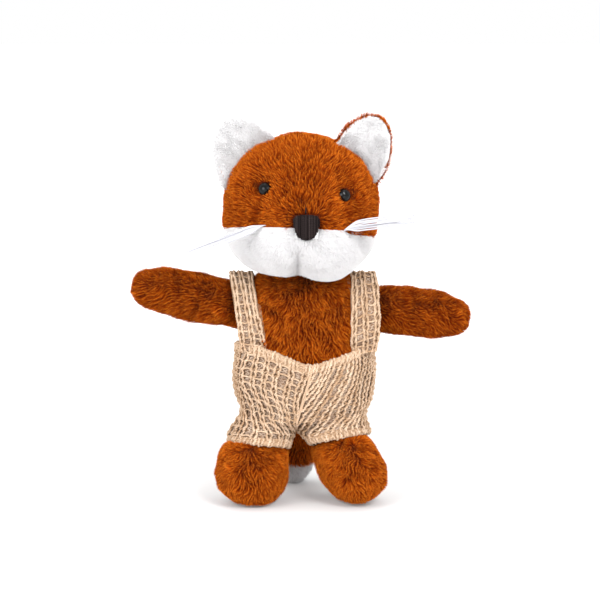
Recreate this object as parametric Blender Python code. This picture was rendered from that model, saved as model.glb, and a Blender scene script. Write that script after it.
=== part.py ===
"""A small stuffed fox in knitted dungarees, standing on its feet and the tip of its tail.

It faces -Y, with +Z up and the floor at zero. Left and right are as seen from its front,
so the left pieces lie at -X. Every length is in metres.
"""

import math

import bmesh
import bpy
import numpy as np
from mathutils import Matrix, Vector
from mathutils.bvhtree import BVHTree

MM = 0.001

# Clearances shared by all pieces
SEAM_GAP = 0.3 * MM
OVERRUN = 20 * MM

# Torso, a full sack that is widest at the hips
TORSO_CENTRE = np.array([1.2, 0.0, 63.0]) * MM
TORSO_HALF_WIDTH = 24.8 * MM
TORSO_HALF_DEPTH = 18.0 * MM
TORSO_HALF_HEIGHT = 29.5 * MM
TORSO_SECTION_POWER = 2.3
TORSO_PROFILE_POWER = 2.8
TORSO_HIP_FULLNESS_SHARE = 0.05
NECK_HEIGHT = 91.0 * MM
NECK_RADIUS = 17.5 * MM

# Head, without the muzzle
HEAD_CENTRE = np.array([0.0, -3.0 * MM, NECK_HEIGHT + 25.5 * MM])
HEAD_HALF_WIDTH = 30.0 * MM
HEAD_HALF_DEPTH = 27.0 * MM
HEAD_HALF_HEIGHT = 27.5 * MM
HEAD_FRONT_SHARE = 0.4

# Muzzle: a snout between the eyes, and two cheeks that hang below it
SNOUT_X = 1.6 * MM
SNOUT_HEIGHT = NECK_HEIGHT + 20.5 * MM
SNOUT_REACH = 7.2 * MM
SNOUT_HALF_WIDTH = 14.5 * MM
SNOUT_HALF_HEIGHT = 12.5 * MM
CHEEK_HEIGHT = NECK_HEIGHT + 9.5 * MM
CHEEK_REACH = 3.6 * MM
CHEEK_HALF_HEIGHT = 9.0 * MM
CHIN_SEAM_X = -1.1 * MM
CHIN_NOTCH_DEPTH = 3.6 * MM
CHIN_NOTCH_HALF_WIDTH = 2.6 * MM
CHIN_Y = -19.0 * MM
CHIN_HALF_DEPTH = 10.0 * MM
CHEEK_DROP = {"left": -0.2 * MM, "right": 3.4 * MM}
CHEEK_X = {"left": -8.5 * MM, "right": 13.6 * MM}
CHEEK_HALF_WIDTH = 9.5 * MM

# White cheek panels, sewn to the brown head along a sloping line
PANEL_THICKNESS = 2.0 * MM
PANEL_BACK_GAP = 0.5 * MM
PANEL_TOP_HEIGHT = NECK_HEIGHT + 15.3 * MM
PANEL_TOP_FRONT_SLOPE = math.radians(7.6)
PANEL_TOP_SIDE_SLOPE = math.radians(-2.4)
PANEL_BACK_Y = -3.5 * MM

# Eyes: beads on barbed shanks, each held by a spring washer inside the head
EYE_PLACE = {
    "left": (-13.7 * MM, NECK_HEIGHT + 33.3 * MM),
    "right": (16.3 * MM, NECK_HEIGHT + 30.8 * MM),
}
EYE_BEAD_RADIUS = 2.7 * MM
EYE_BEAD_HEIGHT = 2.4 * MM
EYE_SINK = 1.1 * MM
EYE_HOLLOW_DEPTH = 1.6 * MM
EYE_HOLLOW_RADIUS = 5.0 * MM
SHANK_RADIUS = 0.9 * MM
SHANK_LENGTH = 7.0 * MM
BARB_HEIGHT = 0.2 * MM
BARB_COUNT = 3
WASHER_RADIUS = 4.5 * MM
WASHER_THICKNESS = 0.8 * MM
WASHER_DEPTH = 3.4 * MM
WASHER_SLOTS = 6
WASHER_SLOT_LENGTH = 1.6 * MM
WASHER_SLOT_WIDTH = 0.5 * MM

# Nose, a padded shield across the line where brown meets white
NOSE_X = 2.0 * MM
NOSE_Z = NECK_HEIGHT + 20.1 * MM
NOSE_WIDTH = 10.1 * MM
NOSE_HEIGHT = 8.9 * MM
NOSE_THICKNESS = 2.6 * MM
NOSE_BACKING = 3.0 * MM

# Whiskers: a tuft of stiff threads from each corner of the snout
WHISKER_ROOT = {
    "left": (-12.3 * MM, NECK_HEIGHT + 20.0 * MM),
    "right": (14.6 * MM, NECK_HEIGHT + 17.6 * MM),
}
WHISKER_TIP = {
    "left": np.array([-42.9 * MM, -35.0 * MM, NECK_HEIGHT + 9.6 * MM]),
    "right": np.array([42.3 * MM, -35.0 * MM, NECK_HEIGHT + 22.8 * MM]),
}
WHISKER_THREADS = 5
WHISKER_RADIUS = 0.25 * MM
WHISKER_SPREAD = 1.3 * MM
WHISKER_SAG = 1.2 * MM
WHISKER_KNOT_RADIUS = 1.0 * MM

# Ears, two layers of plush each
EAR_ROOT_INNER = {
    "left": (-12.1 * MM, NECK_HEIGHT + 51.1 * MM),
    "right": (13.8 * MM, NECK_HEIGHT + 50.4 * MM),
}
EAR_ROOT_OUTER = {
    "left": (-28.4 * MM, NECK_HEIGHT + 33.0 * MM),
    "right": (29.2 * MM, NECK_HEIGHT + 34.0 * MM),
}
EAR_HEIGHT = {"left": 16.0 * MM, "right": 17.6 * MM}
EAR_SKEW = {"left": 3.4 * MM, "right": 4.0 * MM}
EAR_ROUNDNESS = {"left": 1.8, "right": 2.05}
EAR_Y = -2.0 * MM
EAR_ROOT_DEPTH = 6.0 * MM
EAR_CUP = 3.2 * MM
EAR_LAYER = 1.5 * MM
EAR_FRINGE = 0.7 * MM
EAR_LEAN = math.radians(12)
EAR_FOLDS = (math.radians(-8), 0.0, math.radians(12))

# Arms, which hinge at the shoulder seam about an axis from front to back
SHOULDER_HEIGHT = {"left": 76.4 * MM, "right": 76.0 * MM}
SHOULDER_INSET = 0.8 * MM
ARM_LENGTH = {"left": 43.9 * MM, "right": 40.6 * MM}
ARM_ROOT_RADIUS = 9.0 * MM
ARM_MIDDLE_RADIUS = 9.7 * MM
ARM_DEPTH_SHARE = 0.98
ARM_REST = {"left": math.radians(11.5), "right": math.radians(-6.0)}
ARM_HIGHEST = math.radians(18)
ARM_LOWEST = math.radians(-30)

# Legs, which swing at the hip about an axis from side to side
HIP_X = {"left": -12.6 * MM, "right": 14.0 * MM}
HIP_HEIGHT = 43.0 * MM
THIGH_RADIUS = 8.2 * MM
ANKLE_RADIUS = 10.9 * MM
ANKLE_HEIGHT = 19.5 * MM
LEG_FORWARD = math.radians(35)
LEG_BACKWARD = math.radians(-8)

# Feet, rounded shoes with flat soles
FOOT_CENTRE_X = {"left": -18.6 * MM, "right": 18.5 * MM}
FOOT_CENTRE_Y = -5.0 * MM
FOOT_HALF_WIDTH = {"left": 14.1 * MM, "right": 12.3 * MM}
FOOT_HALF_LENGTH = 19.5 * MM
FOOT_HALF_HEIGHT = {"left": 14.8 * MM, "right": 15.8 * MM}
FOOT_PROFILE_POWERS = (2.6, 2.1)
FOOT_SECTION_POWER = 2.35
FOOT_HEEL_NARROWING_SHARE = 0.14
FOOT_TOE_OUT = {"left": math.radians(6), "right": math.radians(16)}
FOOT_ROLL = {"left": math.radians(5), "right": math.radians(30)}
SOLE_CUT = 0.5 * MM

# Tail, which hangs behind and rests its white tip on the floor
TAIL_PATH = np.array([[0.5, 12.0, 41.0], [0.5, 29.5, 30.0], [-4.6, 32.3, -0.4]]) * MM
TAIL_ROOT_RADIUS = 5.0 * MM
TAIL_FULL_RADIUS = 8.4 * MM
TAIL_FULLEST_SHARE = 0.76
TAIL_SPLIT_SHARE = 0.81
TAIL_LIFT = math.radians(40)

# Dungarees: a knitted sack with two legs
SHORTS_THICKNESS = 1.9 * MM
SHORTS_BOTTOM = 31.0 * MM
WAIST_SIDE_HEIGHT = {"left": 63.0 * MM, "right": 62.6 * MM}
WAIST_DIP_HEIGHT = 56.4 * MM
WAIST_DIP_X = 4.6 * MM
WAIST_DIP_HALF_WIDTH = 24.5 * MM
WAIST_BACK_HEIGHT = 61.0 * MM
WAIST_CLEAR = 6.0 * MM
CUFF_INNER_HEIGHTS = (21.0 * MM, 28.5 * MM)
CUFF_INNER_EDGES = {"left": (-3.8 * MM, -1.5 * MM), "right": (4.0 * MM, -2.0 * MM)}
CUFF_OUTER_HEIGHTS = (25.0 * MM, 35.5 * MM)
CUFF_OUTER_EDGES = {"left": (-28.5 * MM, -24.3 * MM), "right": (27.6 * MM, 25.4 * MM)}
CUFF_TOP_HEIGHT = 42.0 * MM
CUFF_Y = -2.0 * MM
CUFF_HALF_DEPTH = 17.0 * MM
HEM_HEIGHT = {"left": 21.5 * MM, "right": 24.0 * MM}
HEM_FRONT_RISE = math.radians(12)
HEM_SIDE_RISE = {"left": math.radians(5), "right": math.radians(12)}

# Straps from the front of the waist over the shoulders to the back
STRAP_THICKNESS = 1.8 * MM
STRAP_EDGES_FRONT = {"left": (-11.2 * MM, -22.9 * MM), "right": (18.6 * MM, 29.3 * MM)}
STRAP_EDGES_CHEST = {"left": (-14.6 * MM, -25.3 * MM), "right": (18.4 * MM, 30.9 * MM)}
STRAP_EDGES_TOP = {"left": (-17.9 * MM, -28.6 * MM), "right": (17.7 * MM, 29.8 * MM)}
STRAP_EDGES_BACK = {"left": (-12.0 * MM, -22.0 * MM), "right": (14.0 * MM, 24.0 * MM)}
STRAP_LAY_WIDTH = 17.5 * MM
STRAP_FOOT_HEIGHT = 55.0 * MM

SIDES = ("left", "right")
OUTWARD = {"left": -1.0, "right": 1.0}

# Plush colours: rust brown pile, white pile, knit yarn, black felt and glass-black plastic
BROWN = (0.40, 0.095, 0.010)
WHITE = (0.86, 0.85, 0.85)
KNIT = (0.62, 0.49, 0.35)
BLACK = (0.012, 0.012, 0.014)
WASHER = (0.75, 0.75, 0.72)


def clear_scene():
    for obj in list(bpy.data.objects):
        bpy.data.objects.remove(obj, do_unlink=True)


def make_material(name, colour, roughness):
    material = bpy.data.materials.new(name)
    material.use_nodes = True
    shader = material.node_tree.nodes["Principled BSDF"]
    shader.inputs["Base Color"].default_value = (*colour, 1.0)
    shader.inputs["Roughness"].default_value = roughness
    shader.inputs["Metallic"].default_value = 0.0
    return material


def make_empty(name, place, parent=None):
    empty = bpy.data.objects.new(name, None)
    bpy.context.scene.collection.objects.link(empty)
    empty.parent = parent
    held_at = np.array(parent.matrix_world.translation) if parent else np.zeros(3)
    empty.location = np.asarray(place) - held_at
    bpy.context.view_layer.update()
    return empty


def make_piece(name, shape, material, pivot=None):
    """A visible solid. The shape is in world places, and its origin goes to the pivot."""
    points, faces = shape
    origin = np.array(pivot.matrix_world.translation) if pivot else np.zeros(3)
    mesh = bpy.data.meshes.new(name)
    mesh.from_pydata((np.asarray(points) - origin).tolist(), [], faces)
    mesh.materials.append(material)
    piece = bpy.data.objects.new(name, mesh)
    bpy.context.scene.collection.objects.link(piece)
    piece.parent = pivot
    mesh.shade_smooth()
    mesh.set_sharp_from_angle(angle=math.radians(50))
    return piece


def make_cutter(name, shape):
    points, faces = shape
    mesh = bpy.data.meshes.new(name)
    mesh.from_pydata(np.asarray(points).tolist(), [], faces)
    cutter = bpy.data.objects.new(name, mesh)
    bpy.context.scene.collection.objects.link(cutter)
    cutter.hide_render = True
    cutter.display_type = "WIRE"
    return cutter


def combine(piece, other, operation="DIFFERENCE"):
    modifier = piece.modifiers.new(f"{operation.lower()} {other.name}", "BOOLEAN")
    modifier.operation = operation
    modifier.solver = "EXACT"
    modifier.object = other


def bell(distance, half_width, power=2):
    """A smooth bump of height 1 that has faded to about a third at the half width.

    A higher even power flattens its top and steepens its sides.
    """
    return np.exp(-((distance / half_width) ** power))


def ease(share):
    share = np.clip(share, 0.0, 1.0)
    return share * share * (3 - 2 * share)


def signed_power(values, power):
    return np.sign(values) * np.abs(values) ** power


def through(rows, shares):
    """Values on a smooth curve through rows of (share, value, ...), read at the shares."""
    rows = np.asarray(rows, float)
    known, values = rows[:, 0], rows[:, 1:]
    slopes = np.gradient(values, known, axis=0)
    shares = np.clip(np.atleast_1d(shares), known[0], known[-1])
    index = np.clip(np.searchsorted(known, shares, side="right") - 1, 0, len(known) - 2)
    step = (known[index + 1] - known[index])[:, None]
    t = ((shares - known[index])[:, None]) / step
    return (
        (2 * t**3 - 3 * t**2 + 1) * values[index]
        + (t**3 - 2 * t**2 + t) * step * slopes[index]
        + (-2 * t**3 + 3 * t**2) * values[index + 1]
        + (t**3 - t**2) * step * slopes[index + 1]
    )


def band_faces(count, sides):
    """The four-sided faces between neighbouring rings of points."""
    faces = []
    for i in range(count - 1):
        for j in range(sides):
            near, far = i * sides, (i + 1) * sides
            beside = (j + 1) % sides
            faces.append((near + j, near + beside, far + beside, far + j))
    return faces


def skin(rings):
    """A closed shape from rings of equal length, whose first and last rings are points or caps."""
    rings = np.asarray(rings, float)
    count, sides = rings.shape[:2]
    points = rings.reshape(-1, 3)
    faces = band_faces(count, sides)
    faces.append(tuple(range(sides - 1, -1, -1)))
    faces.append(tuple(range((count - 1) * sides, count * sides)))
    return outward(points, faces)


def poled(rings, first, last):
    """A closed shape from rings, drawn to one point at each end."""
    rings = np.asarray(rings, float)
    count, sides = rings.shape[:2]
    points = np.vstack([rings.reshape(-1, 3), first, last])
    start, end = count * sides, count * sides + 1
    faces = band_faces(count, sides)
    faces += [(start, (j + 1) % sides, j) for j in range(sides)]
    last_ring = (count - 1) * sides
    faces += [(end, last_ring + j, last_ring + (j + 1) % sides) for j in range(sides)]
    return outward(points, faces)


def outward(points, faces):
    """The same shape with its faces turned to point outwards."""
    build = bmesh.new()
    corners = [build.verts.new(point) for point in points]
    for face in faces:
        build.faces.new([corners[i] for i in face])
    bmesh.ops.recalc_face_normals(build, faces=build.faces)
    build.verts.index_update()
    turned = [tuple(vertex.index for vertex in face.verts) for face in build.faces]
    build.free()
    return np.asarray(points, float), turned


def moved(shape, matrix):
    points, faces = shape
    turned = [matrix @ Vector(point) for point in points]
    return np.array([tuple(point) for point in turned]), faces


def turned_shape(shape, pivot, axis, angle):
    place = Matrix.Translation(Vector(pivot))
    return moved(shape, place @ Matrix.Rotation(angle, 4, Vector(axis)) @ place.inverted())


def rounded(half_sizes, profile_powers, section_power, rings, sides, front_share=0.0):
    """A swollen form about its centre. The powers, for below and above, square it off.

    The front share crowds the points towards -Y.
    """
    angles = np.linspace(-math.pi / 2, math.pi / 2, rings + 2)
    around = np.linspace(0, 2 * math.pi, sides, endpoint=False)
    around = around - front_share * np.cos(around)
    power = np.where(angles < 0, profile_powers[0], profile_powers[1])
    ring = np.cos(angles) ** (2 / power)
    height = signed_power(np.sin(angles), 2 / power) * half_sizes[2]
    across = signed_power(np.cos(around), 2 / section_power) * half_sizes[0]
    along = signed_power(np.sin(around), 2 / section_power) * half_sizes[1]
    grid = np.empty((rings, sides, 3))
    grid[:, :, 0] = ring[1:-1, None] * across[None, :]
    grid[:, :, 1] = ring[1:-1, None] * along[None, :]
    grid[:, :, 2] = height[1:-1, None]
    return poled(grid, (0, 0, height[0]), (0, 0, height[-1]))


def ball(centre, radius, rings=7, sides=14):
    points, faces = rounded((radius, radius, radius), (2, 2), 2, rings, sides)
    return points + np.asarray(centre), faces


def hull_of(shapes):
    """The tight convex skin round several shapes."""
    build = bmesh.new()
    for points, _ in shapes:
        for point in points:
            build.verts.new(point)
    found = bmesh.ops.convex_hull(build, input=build.verts)
    inside = found["geom_interior"] + found["geom_unused"]
    spare = {part for part in inside if isinstance(part, bmesh.types.BMVert)}
    bmesh.ops.delete(build, geom=list(spare), context="VERTS")
    build.verts.index_update()
    points = np.array([tuple(vertex.co) for vertex in build.verts])
    faces = [tuple(vertex.index for vertex in face.verts) for face in build.faces]
    build.free()
    return outward(points, faces)


def sweep(shape, pivot, axis, angles):
    """The room that a shape sweeps as it turns about an axis through the pivot."""
    return hull_of([turned_shape(shape, pivot, axis, angle) for angle in angles])


def limb_room(pivot, end, radii, axis, angles):
    """The room of a limb, from a ball at its pivot to a ball at its end, swept about the axis."""
    sides = 16
    wraps = [(radius + SEAM_GAP) / math.cos(math.pi / sides) for radius in radii]
    limb = hull_of([ball(pivot, wraps[0], 7, sides), ball(end, wraps[1], 7, sides)])
    return sweep(limb, pivot, axis, angles)


def lathe(profile, sides):
    """A turned shape about +Z from (radius, height) pairs, which start and end off the axis."""
    around = np.linspace(0, 2 * math.pi, sides, endpoint=False)
    rings = [
        [(radius * math.cos(a), radius * math.sin(a), height) for a in around]
        for radius, height in profile
    ]
    return skin(rings)


def facing(place, direction, upright=(0, 0, 1)):
    """The placement that sends +Z to the direction and keeps +Y as upright as it can."""
    out = Vector(direction).normalized()
    side = Vector(upright).cross(out).normalized()
    top = out.cross(side)
    turn = Matrix((side, top, out)).transposed().to_4x4()
    return Matrix.Translation(Vector(place)) @ turn


# Torso


def torso_shape(growth=0.0):
    half_sizes = np.array([TORSO_HALF_WIDTH, TORSO_HALF_DEPTH, TORSO_HALF_HEIGHT]) + growth
    powers = (TORSO_PROFILE_POWER, TORSO_PROFILE_POWER)
    points, faces = rounded(half_sizes, powers, TORSO_SECTION_POWER, 15, 30)
    lower = ease(-points[:, 2] / TORSO_HALF_HEIGHT * 2)
    points[:, :2] *= (1 + TORSO_HIP_FULLNESS_SHARE * lower)[:, None]
    return points + TORSO_CENTRE, faces


def torso_side(side):
    return TORSO_CENTRE[0] + OUTWARD[side] * TORSO_HALF_WIDTH


def shoulder_pivot(side):
    x = torso_side(side) - OUTWARD[side] * SHOULDER_INSET
    return np.array([x, TORSO_CENTRE[1], SHOULDER_HEIGHT[side]])


def hip_pivot(side):
    return np.array([HIP_X[side], TORSO_CENTRE[1], HIP_HEIGHT])


def arm_direction(side, angle):
    return np.array([OUTWARD[side] * math.cos(angle), 0.0, math.sin(angle)])


# Arms


def arm_shape(side):
    """A sausage with a round root, fullest past its middle and blunt at the paw."""
    length = ARM_LENGTH[side]
    root_share = ARM_ROOT_RADIUS / ARM_MIDDLE_RADIUS
    body_shares = [
        (0.0, root_share),
        (0.2, 0.97),
        (0.42, 1.0),
        (0.62, 0.97),
        (0.78, 0.88),
        (0.88, 0.75),
        (0.95, 0.54),
        (0.985, 0.3),
    ]
    root_angles = np.radians([-75, -60, -45, -30, -15])
    centres = [ARM_ROOT_RADIUS * math.sin(a) for a in root_angles]
    radii = [ARM_ROOT_RADIUS * math.cos(a) for a in root_angles]
    for share in (0.0, 0.15, 0.3, 0.45, 0.6, 0.72, 0.82, 0.9, 0.95, 0.985):
        centres.append(share * length)
        radii.append(through(body_shares, share)[0, 0] * ARM_MIDDLE_RADIUS)
    around = np.linspace(0, 2 * math.pi, 20, endpoint=False)
    rings = [
        [(r * math.cos(a), r * math.sin(a) * ARM_DEPTH_SHARE, c) for a in around]
        for c, r in zip(centres, radii)
    ]
    shape = poled(rings, (0, 0, -ARM_ROOT_RADIUS), (0, 0, length))
    direction = arm_direction(side, ARM_REST[side])
    return moved(shape, facing(shoulder_pivot(side), direction, (0, 1, 0)))


def shoulder_room(side):
    pivot = shoulder_pivot(side)
    middle = pivot + arm_direction(side, ARM_REST[side]) * ARM_LENGTH[side] / 2
    turns = (np.linspace(ARM_LOWEST, ARM_HIGHEST, 3) - ARM_REST[side]) * -OUTWARD[side]
    radii = (ARM_ROOT_RADIUS, ARM_MIDDLE_RADIUS)
    return limb_room(pivot, middle, radii, (0, 1, 0), turns)


# Legs


def foot_shape(side, growth=0.0):
    half_sizes = np.array([FOOT_HALF_WIDTH[side], FOOT_HALF_LENGTH, FOOT_HALF_HEIGHT[side]]) + growth
    points, faces = rounded(half_sizes, FOOT_PROFILE_POWERS, FOOT_SECTION_POWER, 13, 24)
    narrow = 1 - FOOT_HEEL_NARROWING_SHARE * ease(points[:, 1] / FOOT_HALF_LENGTH)
    points[:, 0] *= narrow
    turn = Matrix.Rotation(FOOT_TOE_OUT[side] * OUTWARD[side], 4, "Z")
    roll = Matrix.Rotation(-FOOT_ROLL[side] * OUTWARD[side], 4, "Y")
    points, faces = moved((points, faces), turn @ roll)
    lowest = points[:, 2].min()
    return points + np.array([FOOT_CENTRE_X[side], FOOT_CENTRE_Y, -SOLE_CUT - growth - lowest]), faces


def ankle_place(side):
    x = (FOOT_CENTRE_X[side] + HIP_X[side]) / 2
    return np.array([x, FOOT_CENTRE_Y / 2, ANKLE_HEIGHT])


def shaft_shape(side, growth=0.0):
    """The round thigh and the ankle that runs down into the foot."""
    thigh = ball(hip_pivot(side), THIGH_RADIUS + growth, 11, 20)
    ankle = ball(ankle_place(side), ANKLE_RADIUS + growth, 11, 20)
    return hull_of([thigh, ankle])


def hip_room(side):
    turns = -np.linspace(LEG_BACKWARD, LEG_FORWARD, 3)
    radii = (THIGH_RADIUS, ANKLE_RADIUS)
    return limb_room(hip_pivot(side), ankle_place(side), radii, (1, 0, 0), turns)


# Tail


def tail_point(share):
    first, bend, last = TAIL_PATH
    return (1 - share) ** 2 * first + 2 * share * (1 - share) * bend + share**2 * last


def tail_direction(share):
    first, bend, last = TAIL_PATH
    slope = 2 * (1 - share) * (bend - first) + 2 * share * (last - bend)
    return slope / np.linalg.norm(slope)


def tail_shape(growth=0.0):
    """A plump brush that swells from a thin root and closes in a round tip."""
    around = np.linspace(0, 2 * math.pi, 20, endpoint=False)
    rings = []
    for share in (0.0, 0.12, 0.26, 0.4, 0.52, 0.64, 0.74, 0.82, 0.88, 0.93, 0.965, 0.99):
        swell = ease(share / TAIL_FULLEST_SHARE)
        close = max(share - TAIL_FULLEST_SHARE, 0.0) / (1 - TAIL_FULLEST_SHARE)
        radius = TAIL_ROOT_RADIUS + (TAIL_FULL_RADIUS - TAIL_ROOT_RADIUS) * swell
        radius = (radius + growth) * math.sqrt(1 - close**2)
        frame = facing(tail_point(share), tail_direction(share), (1, 0, 0))
        ring = [(radius * math.cos(a), radius * math.sin(a), 0.0) for a in around]
        rings.append([tuple(frame @ Vector(point)) for point in ring])
    first = tail_point(0) - tail_direction(0) * (TAIL_ROOT_RADIUS / 2 + growth)
    return poled(rings, first, tail_point(1) + tail_direction(1) * growth)


def tail_room():
    end = tail_point(TAIL_FULLEST_SHARE / 2)
    turns = np.linspace(0, TAIL_LIFT, 3)
    radii = (TAIL_FULL_RADIUS, TAIL_FULL_RADIUS)
    return limb_room(tail_pivot(), end, radii, (1, 0, 0), turns)


def tail_pivot():
    return tail_point(0.12)


def tail_split_block(gap_side):
    """A block beyond the seam between the brown tail and its white tip."""
    frame = facing(
        tail_point(TAIL_SPLIT_SHARE) + tail_direction(TAIL_SPLIT_SHARE) * gap_side,
        tail_direction(TAIL_SPLIT_SHARE),
        (1, 0, 0),
    )
    reach = TAIL_FULL_RADIUS + OVERRUN
    corners = [(x, y, z) for z in (0, 1) for x, y in ((-1, -1), (1, -1), (1, 1), (-1, 1))]
    box = [(x * reach, y * reach, z * 2 * reach) for x, y, z in corners]
    faces = [(0, 1, 2, 3), (4, 5, 6, 7), (0, 1, 5, 4), (1, 2, 6, 5), (2, 3, 7, 6), (3, 0, 4, 7)]
    return moved(outward(np.array(box), faces), frame)


# Head


def head_shape(growth=0.0):
    """A round head with a snout, two hanging cheeks and a notch between them."""
    half_sizes = np.array([HEAD_HALF_WIDTH, HEAD_HALF_DEPTH, HEAD_HALF_HEIGHT]) + growth
    points, faces = rounded(half_sizes, (2.9, 2.0), 2.0, 21, 44, HEAD_FRONT_SHARE)
    points = points + HEAD_CENTRE
    x, y, z = points.T
    front = ease((HEAD_CENTRE[1] - y) / HEAD_HALF_DEPTH * 1.6)
    lower = ease((HEAD_CENTRE[2] - z) / HEAD_HALF_HEIGHT * 1.6)
    snout = bell(x - SNOUT_X, SNOUT_HALF_WIDTH, 4) * bell(z - SNOUT_HEIGHT, SNOUT_HALF_HEIGHT)
    forward = SNOUT_REACH * snout * front
    for side in SIDES:
        puff = bell(x - CHEEK_X[side], CHEEK_HALF_WIDTH) * bell(z - CHEEK_HEIGHT, CHEEK_HALF_HEIGHT)
        forward = forward + CHEEK_REACH * puff * front
        eye_x, eye_z = EYE_PLACE[side]
        distance = np.hypot(x - eye_x, z - eye_z)
        forward = forward - EYE_HOLLOW_DEPTH * bell(distance, EYE_HOLLOW_RADIUS) * front
    hang = bell(y - CHIN_Y, CHIN_HALF_DEPTH) * lower
    down = sum(CHEEK_DROP[side] * bell(x - CHEEK_X[side], CHEEK_HALF_WIDTH) for side in SIDES)
    notch = CHIN_NOTCH_DEPTH * bell(x - CHIN_SEAM_X, CHIN_NOTCH_HALF_WIDTH) * lower * front
    groove = notch / 2 * ease((CHEEK_HEIGHT - z) / CHEEK_HALF_HEIGHT)
    points[:, 1] = y - forward + groove
    points[:, 2] = z - down * hang + notch * hang
    return points, faces


def panel_top(x, y):
    """The height of the seam where the white cheeks meet the brown head."""
    back = PANEL_BACK_Y - y
    return PANEL_TOP_HEIGHT + back * math.tan(PANEL_TOP_FRONT_SLOPE) + x * math.tan(PANEL_TOP_SIDE_SLOPE)


def panel_block(inner_x, outer_x, growth=0.0):
    """Everything below the seam and in front of the ears, between two sideways limits."""
    front = HEAD_CENTRE[1] - HEAD_HALF_DEPTH - SNOUT_REACH - OVERRUN
    bottom = HEAD_CENTRE[2] - HEAD_HALF_HEIGHT - OVERRUN
    back = PANEL_BACK_Y + growth
    corners = [(inner_x, front), (outer_x, front), (outer_x, back), (inner_x, back)]
    low = [(x, y, bottom) for x, y in corners]
    high = [(x, y, panel_top(x, y) + growth) for x, y in corners]
    faces = [(0, 1, 2, 3), (4, 5, 6, 7), (0, 1, 5, 4), (1, 2, 6, 5), (2, 3, 7, 6), (3, 0, 4, 7)]
    return outward(np.array(low + high), faces)


def surface_on(shape, x, z):
    """The place and outward direction where a line from the front meets the shape."""
    points, faces = shape
    tree = BVHTree.FromPolygons([tuple(point) for point in points], faces)
    start = Vector((x, HEAD_CENTRE[1] - HEAD_HALF_DEPTH - OVERRUN, z))
    place, normal, _, _ = tree.ray_cast(start, Vector((0, 1, 0)))
    return np.array(place), np.array(normal)


# Eyes


def eye_frame(side):
    place, normal = surface_on(head_shape(), *EYE_PLACE[side])
    direction = normal + np.array([0.0, -1.0, 0.0])
    direction /= np.linalg.norm(direction)
    return facing(place - direction * EYE_SINK, direction)


def eye_shape(side):
    """A domed bead with a barbed shank behind it."""
    dome = [
        (EYE_BEAD_RADIUS * math.cos(a), EYE_BEAD_HEIGHT * math.sin(a))
        for a in np.radians([80, 60, 40, 20, 0])
    ]
    back = [(EYE_BEAD_RADIUS * 0.8, -EYE_BEAD_HEIGHT * 0.25), (SHANK_RADIUS, -EYE_BEAD_HEIGHT * 0.25)]
    pitch = (SHANK_LENGTH - WASHER_DEPTH) / BARB_COUNT
    barbs = []
    for i in range(BARB_COUNT):
        start = -WASHER_DEPTH - i * pitch
        barbs += [(SHANK_RADIUS, start), (SHANK_RADIUS + BARB_HEIGHT, start - pitch * 0.1)]
        barbs.append((SHANK_RADIUS, start - pitch * 0.9))
    tip = [(SHANK_RADIUS * 0.5, -SHANK_LENGTH - SHANK_RADIUS * 0.5)]
    return moved(lathe(dome + back + barbs + tip, 16), eye_frame(side))


def eye_room(side):
    """The seat of the bead, the hole for the shank and the pocket for the washer."""
    bead = EYE_BEAD_RADIUS + SEAM_GAP
    hole = SHANK_RADIUS + BARB_HEIGHT + SEAM_GAP
    seat = -EYE_BEAD_HEIGHT * 0.25 - SEAM_GAP
    pocket_top = -WASHER_DEPTH + SEAM_GAP
    pocket_end = -WASHER_DEPTH - WASHER_THICKNESS - SEAM_GAP
    end = -SHANK_LENGTH - SHANK_RADIUS - SEAM_GAP
    pocket = WASHER_RADIUS + SEAM_GAP
    profile = [
        (bead, EYE_BEAD_HEIGHT * 2),
        (bead, seat),
        (hole, seat),
        (hole, pocket_top),
        (pocket, pocket_top),
        (pocket, pocket_end),
        (hole, pocket_end),
        (hole, end),
    ]
    return moved(lathe(profile, 20), eye_frame(side))


def washer_shape(side):
    """A flat ring, pressed onto the shank from inside the head."""
    bore = SHANK_RADIUS + BARB_HEIGHT + SEAM_GAP
    low = -WASHER_DEPTH - WASHER_THICKNESS
    around = np.linspace(0, 2 * math.pi, 24, endpoint=False)
    corners = [(bore, low), (WASHER_RADIUS, low), (WASHER_RADIUS, -WASHER_DEPTH), (bore, -WASHER_DEPTH)]
    points = [(r * math.cos(a), r * math.sin(a), z) for a in around for r, z in corners]
    count = len(around)
    faces = []
    for i in range(count):
        here, there = 4 * i, 4 * ((i + 1) % count)
        faces += [(here + k, here + (k + 1) % 4, there + (k + 1) % 4, there + k) for k in range(4)]
    return moved(outward(np.array(points), faces), eye_frame(side))


def washer_slot(side, index):
    """One of the slits that let the washer's teeth spring over the barbs."""
    angle = 2 * math.pi * index / WASHER_SLOTS
    bore = SHANK_RADIUS + BARB_HEIGHT
    half = WASHER_SLOT_WIDTH / 2
    low = -WASHER_DEPTH - 2 * WASHER_THICKNESS
    high = -WASHER_DEPTH + WASHER_THICKNESS
    end = bore + WASHER_SLOT_LENGTH
    corners = [(bore, -half), (end, -half), (end, half), (bore, half)]
    points = [(x, y, z) for z in (low, high) for x, y in corners]
    faces = [(0, 1, 2, 3), (4, 5, 6, 7), (0, 1, 5, 4), (1, 2, 6, 5), (2, 3, 7, 6), (3, 0, 4, 7)]
    shape = outward(np.array(points), faces)
    return moved(shape, eye_frame(side) @ Matrix.Rotation(angle, 4, "Z"))


# Nose and whiskers


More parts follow.
